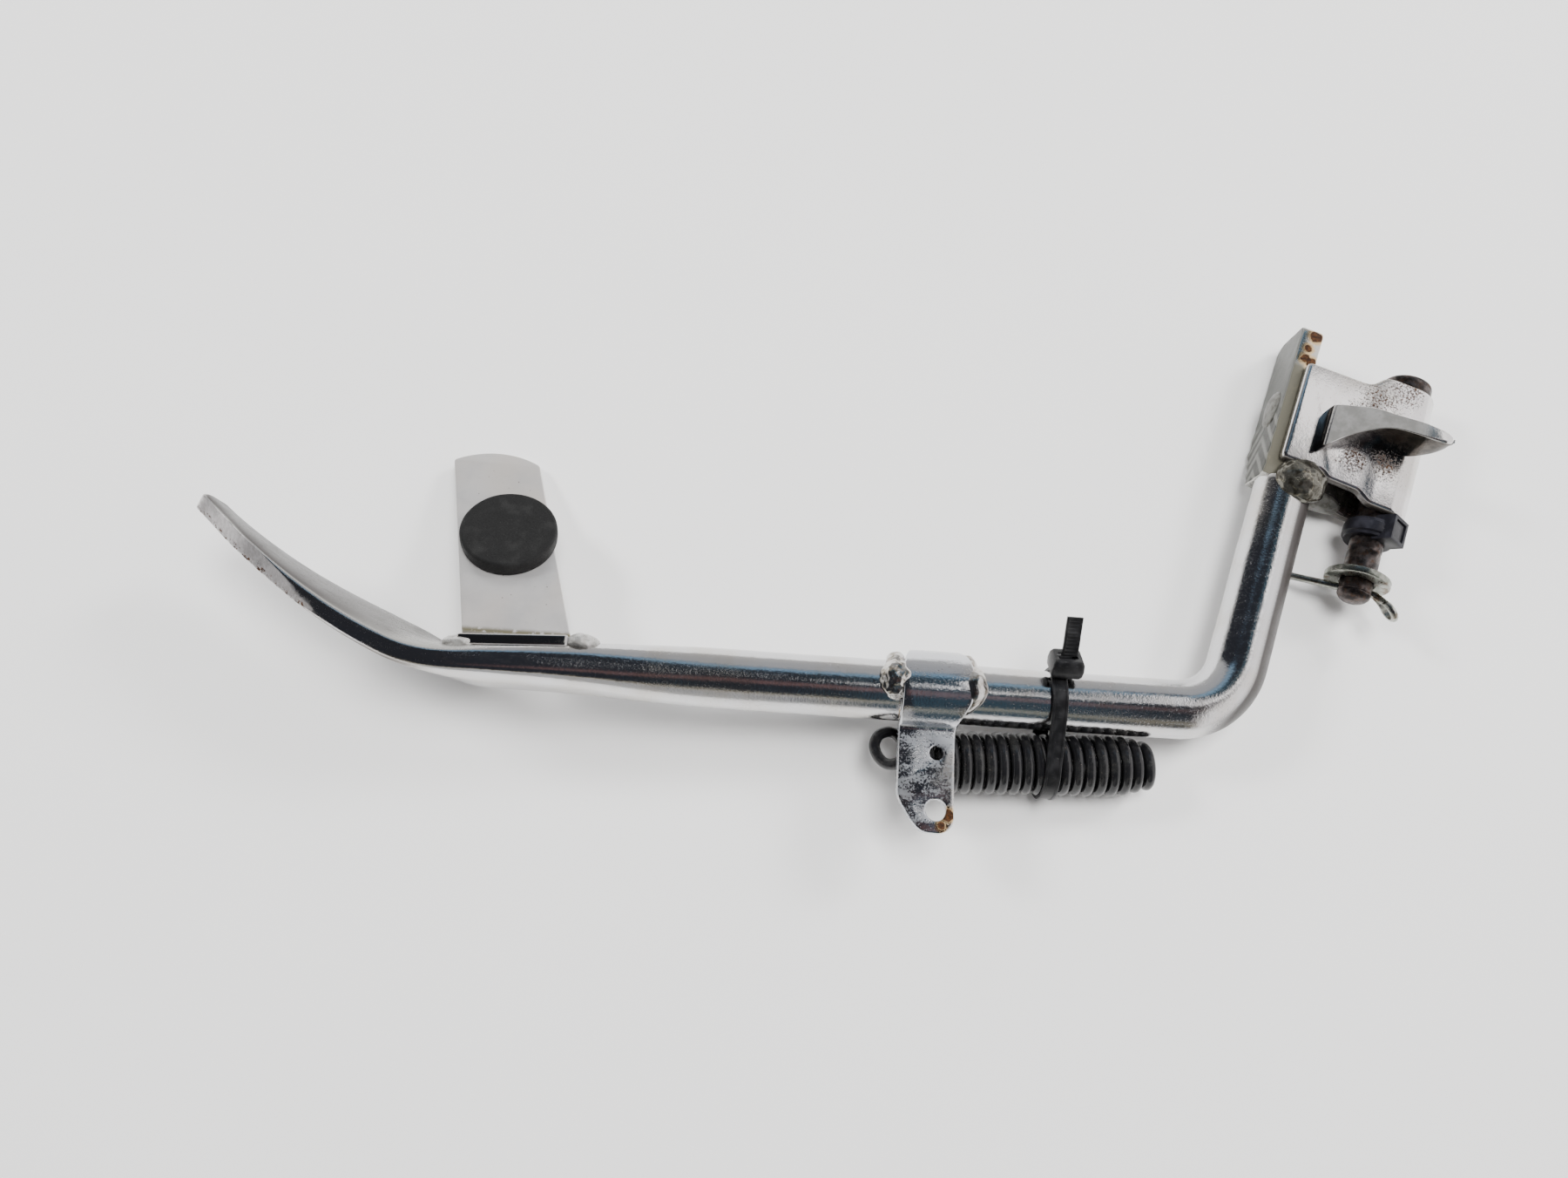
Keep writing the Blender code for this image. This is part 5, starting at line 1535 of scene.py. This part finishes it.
def build():
    """Every piece of the kickstand, with its material and its place in the frame."""
    rod_chrome = plated("rod_chrome", grain=1.0, specks=0.03, worn="worn", paint=paint_rod)
    plate_chrome = plated(
        "plate_chrome", tint=(0.78, 0.76, 0.76), gloss=0.11, haze=0.17, grain=0.7, specks=0.12,
        streaks=(1.0, 0.05, 1.0), paint=paint_plate,
        dots=(((-10.0, 31.0, 8.0), 1.0, 13.0), ((-3.0, 36.0, 8.0), 2.0, 9.0),
              ((-14.0, 25.0, 8.0), 0.0, 9.0), ((-13.0, 10.0, 8.0), 1.0, 9.0),
              ((-4.0, 12.0, 8.0), 1.0, 9.0)))
    bar_chrome = plated(
        "bar_chrome", tint=(0.60, 0.60, 0.57), film=(0.46, 0.45, 0.42), gloss=0.16, haze=0.28, grain=0.6,
        streaks=(1.0, 0.05, 0.3), paint=paint_bar,
        rust=(((-31.2, 45.0, 4.5), 1.2, 3.8), ((-32.6, 37.0, 4.5), 0.6, 3.4),
              ((-30.6, 36.2, 4.5), 0.8, 3.6), ((-32.6, 40.4, 4.5), 0.5, 2.8)))
    tab_chrome = plated(
        "tab_chrome", tint=(0.62, 0.63, 0.66), gloss=0.08, haze=0.26, grain=1.2, specks=0.16,
        frosting=0.62, streaks=(0.35, 1.0, 1.0),
        rust=(((-122.8, -91.4, 4.9), 0.8, 3.4), ((-124.4, -94.2, 4.9), 0.4, 2.6),
              ((-136.5, -66.0, 4.0), 0.4, 2.4)))
    bead = weld_metal("weld_bead", (0.60, 0.585, 0.56), (0.32, 0.285, 0.24), 0.14, 0.30)
    dark = weld_metal("weld_bead_dark", (0.15, 0.145, 0.125), (0.05, 0.045, 0.035), 0.12, 0.10, 0.85, 0.22)
    dull = weld_metal("weld_bead_dull", (0.17, 0.168, 0.155), (0.10, 0.096, 0.083), 0.30, 0.16, 0.6)
    satin = weld_metal("weld_bead_satin", (0.46, 0.455, 0.44), (0.36, 0.35, 0.33), 0.26, 0.14, 0.6)
    nylon = moulded("black_nylon", (0.006, 0.006, 0.0065), 0.30, 0.42)
    collar_plastic = moulded("collar_plastic", (0.009, 0.009, 0.012), 0.34, 0.5, 0.22)

    washer_zinc = zinc("zinc_washer", (0.34, 0.345, 0.31), (0.22, 0.235, 0.20))
    wire_zinc = zinc("zinc_wire", (0.46, 0.46, 0.43), (0.30, 0.31, 0.27))

    # Maker, body it rides on, material slot, material and node it stands for
    pieces = (
        (make_leg_rod, "leg", "chrome", rod_chrome, "leg_rod"),
        (make_bumper_strip, "leg", "satin_chrome", satin_plate(), "bumper_strip"),
        (make_rubber_bumper, "leg", "rubber", black_rubber(), "rubber_bumper"),
        (make_spring_tab, "leg", "chrome", tab_chrome, "spring_tab"),
        (make_return_spring, "leg", "spring_black", spring_coating(), "return_spring"),
        (make_cable_tie, "leg", "nylon", nylon, "cable_tie"),
        (make_tie_head, "leg", "nylon", nylon, "cable_tie"),
        (make_head_bar, "leg", "chrome", bar_chrome, "head_bar"),
        (make_head_plate, "leg", "chrome", plate_chrome, "head_plate"),
        (make_stop_lug, "leg", "chrome", forged_lug(), "stop_lug"),
        (make_clevis_pin, "pin", "worn_steel", worn_steel(), "clevis_pin"),
        (make_washer, "washer", "zinc", washer_zinc, "flat_washer"),
        (make_split_pin, "split_pin", "zinc", wire_zinc, "split_pin"),
        (make_collar, "collar", "plastic", collar_plastic, "pin_collar"),
        (make_magnet, "collar", "magnet", sintered(), "collar_magnet"),
    )
    for make, body, slot, material, node in pieces:
        place_piece(make(), body, slot, material, node)

    # Name, node it stands for, centre, radii, lumpiness, seed and material
    head_welds = (
        ("corner_weld", "corner_weld", (-25.0, -1.4, 6.9), (7.2, 6.4, 4.0), 0.10, 1.0, dark),
        ("lower_corner_weld", "lower_corner_weld", (-22.6, -0.2, -7.4), (5.6, 5.4, 3.6), 0.16, 2.0, dark),
        ("lower_run", "lower_corner_weld", (-15.2, 0.5, -4.8), (7.0, 2.7, 4.2), 0.14, 9.0, dull),
        ("bar_face_weld", "bar_face_weld", (-35.2, 21.6, -2.6), (1.5, 6.0, 4.4), 0.06, 3.0, dull),
        ("lug_weld", "lug_weld", (-14.5, 22.6, 7.9), (7.8, 1.6, 1.2), 0.22, 4.0, bead),
    )
    leg_welds = (
        ("tab_weld_left_blob", "tab_weld_left", (-137.4, -57.7, 7.9), (4.6, 5.0, 3.6), 0.16, 5.0, bead),
        ("strip_weld_left", "strip_weld_left", (-249.7, -55.8, 4.6), (5.2, 2.2, 5.0), 0.12, 7.0, satin),
        ("strip_weld_right", "strip_weld_right", (-219.2, -53.4, 4.4), (4.6, 2.4, 5.4), 0.12, 8.0, satin),
    )
    for matrix, rows in ((PIVOT, head_welds), (LEG, leg_welds)):
        for name, node, center, radii, lumps, seed, material in rows:
            weld = make_weld(name + "_fine", matrix, center, radii, lumps, seed)
            place_piece(weld, "leg", "chromed_weld", material, node)

    # Name, node, distance from the rod's middle, X, bulge, thin and thick radius, angles, seed
    beads = (
        ("tab_weld_left_fine", "tab_weld_left", 8.3, -136.9, -0.4, 1.4, 2.5, 0.0, 66.0, 5.0),
        ("tab_shoulder_right_fine", "tab_weld_right", 8.3, -118.4, 0.2, 1.4, 2.5, 5.0, 60.0, 6.0),
        ("tab_weld_right_fine", "tab_weld_right", 8.0, -119.2, 2.0, 1.4, 3.7, 40.0, 130.0, 7.0),
    )
    for name, node, *shape in beads:
        place_piece(make_arc_bead(name, *shape), "leg", "chromed_weld", bead, node)


make_camera()
make_floor()
make_room()
build()
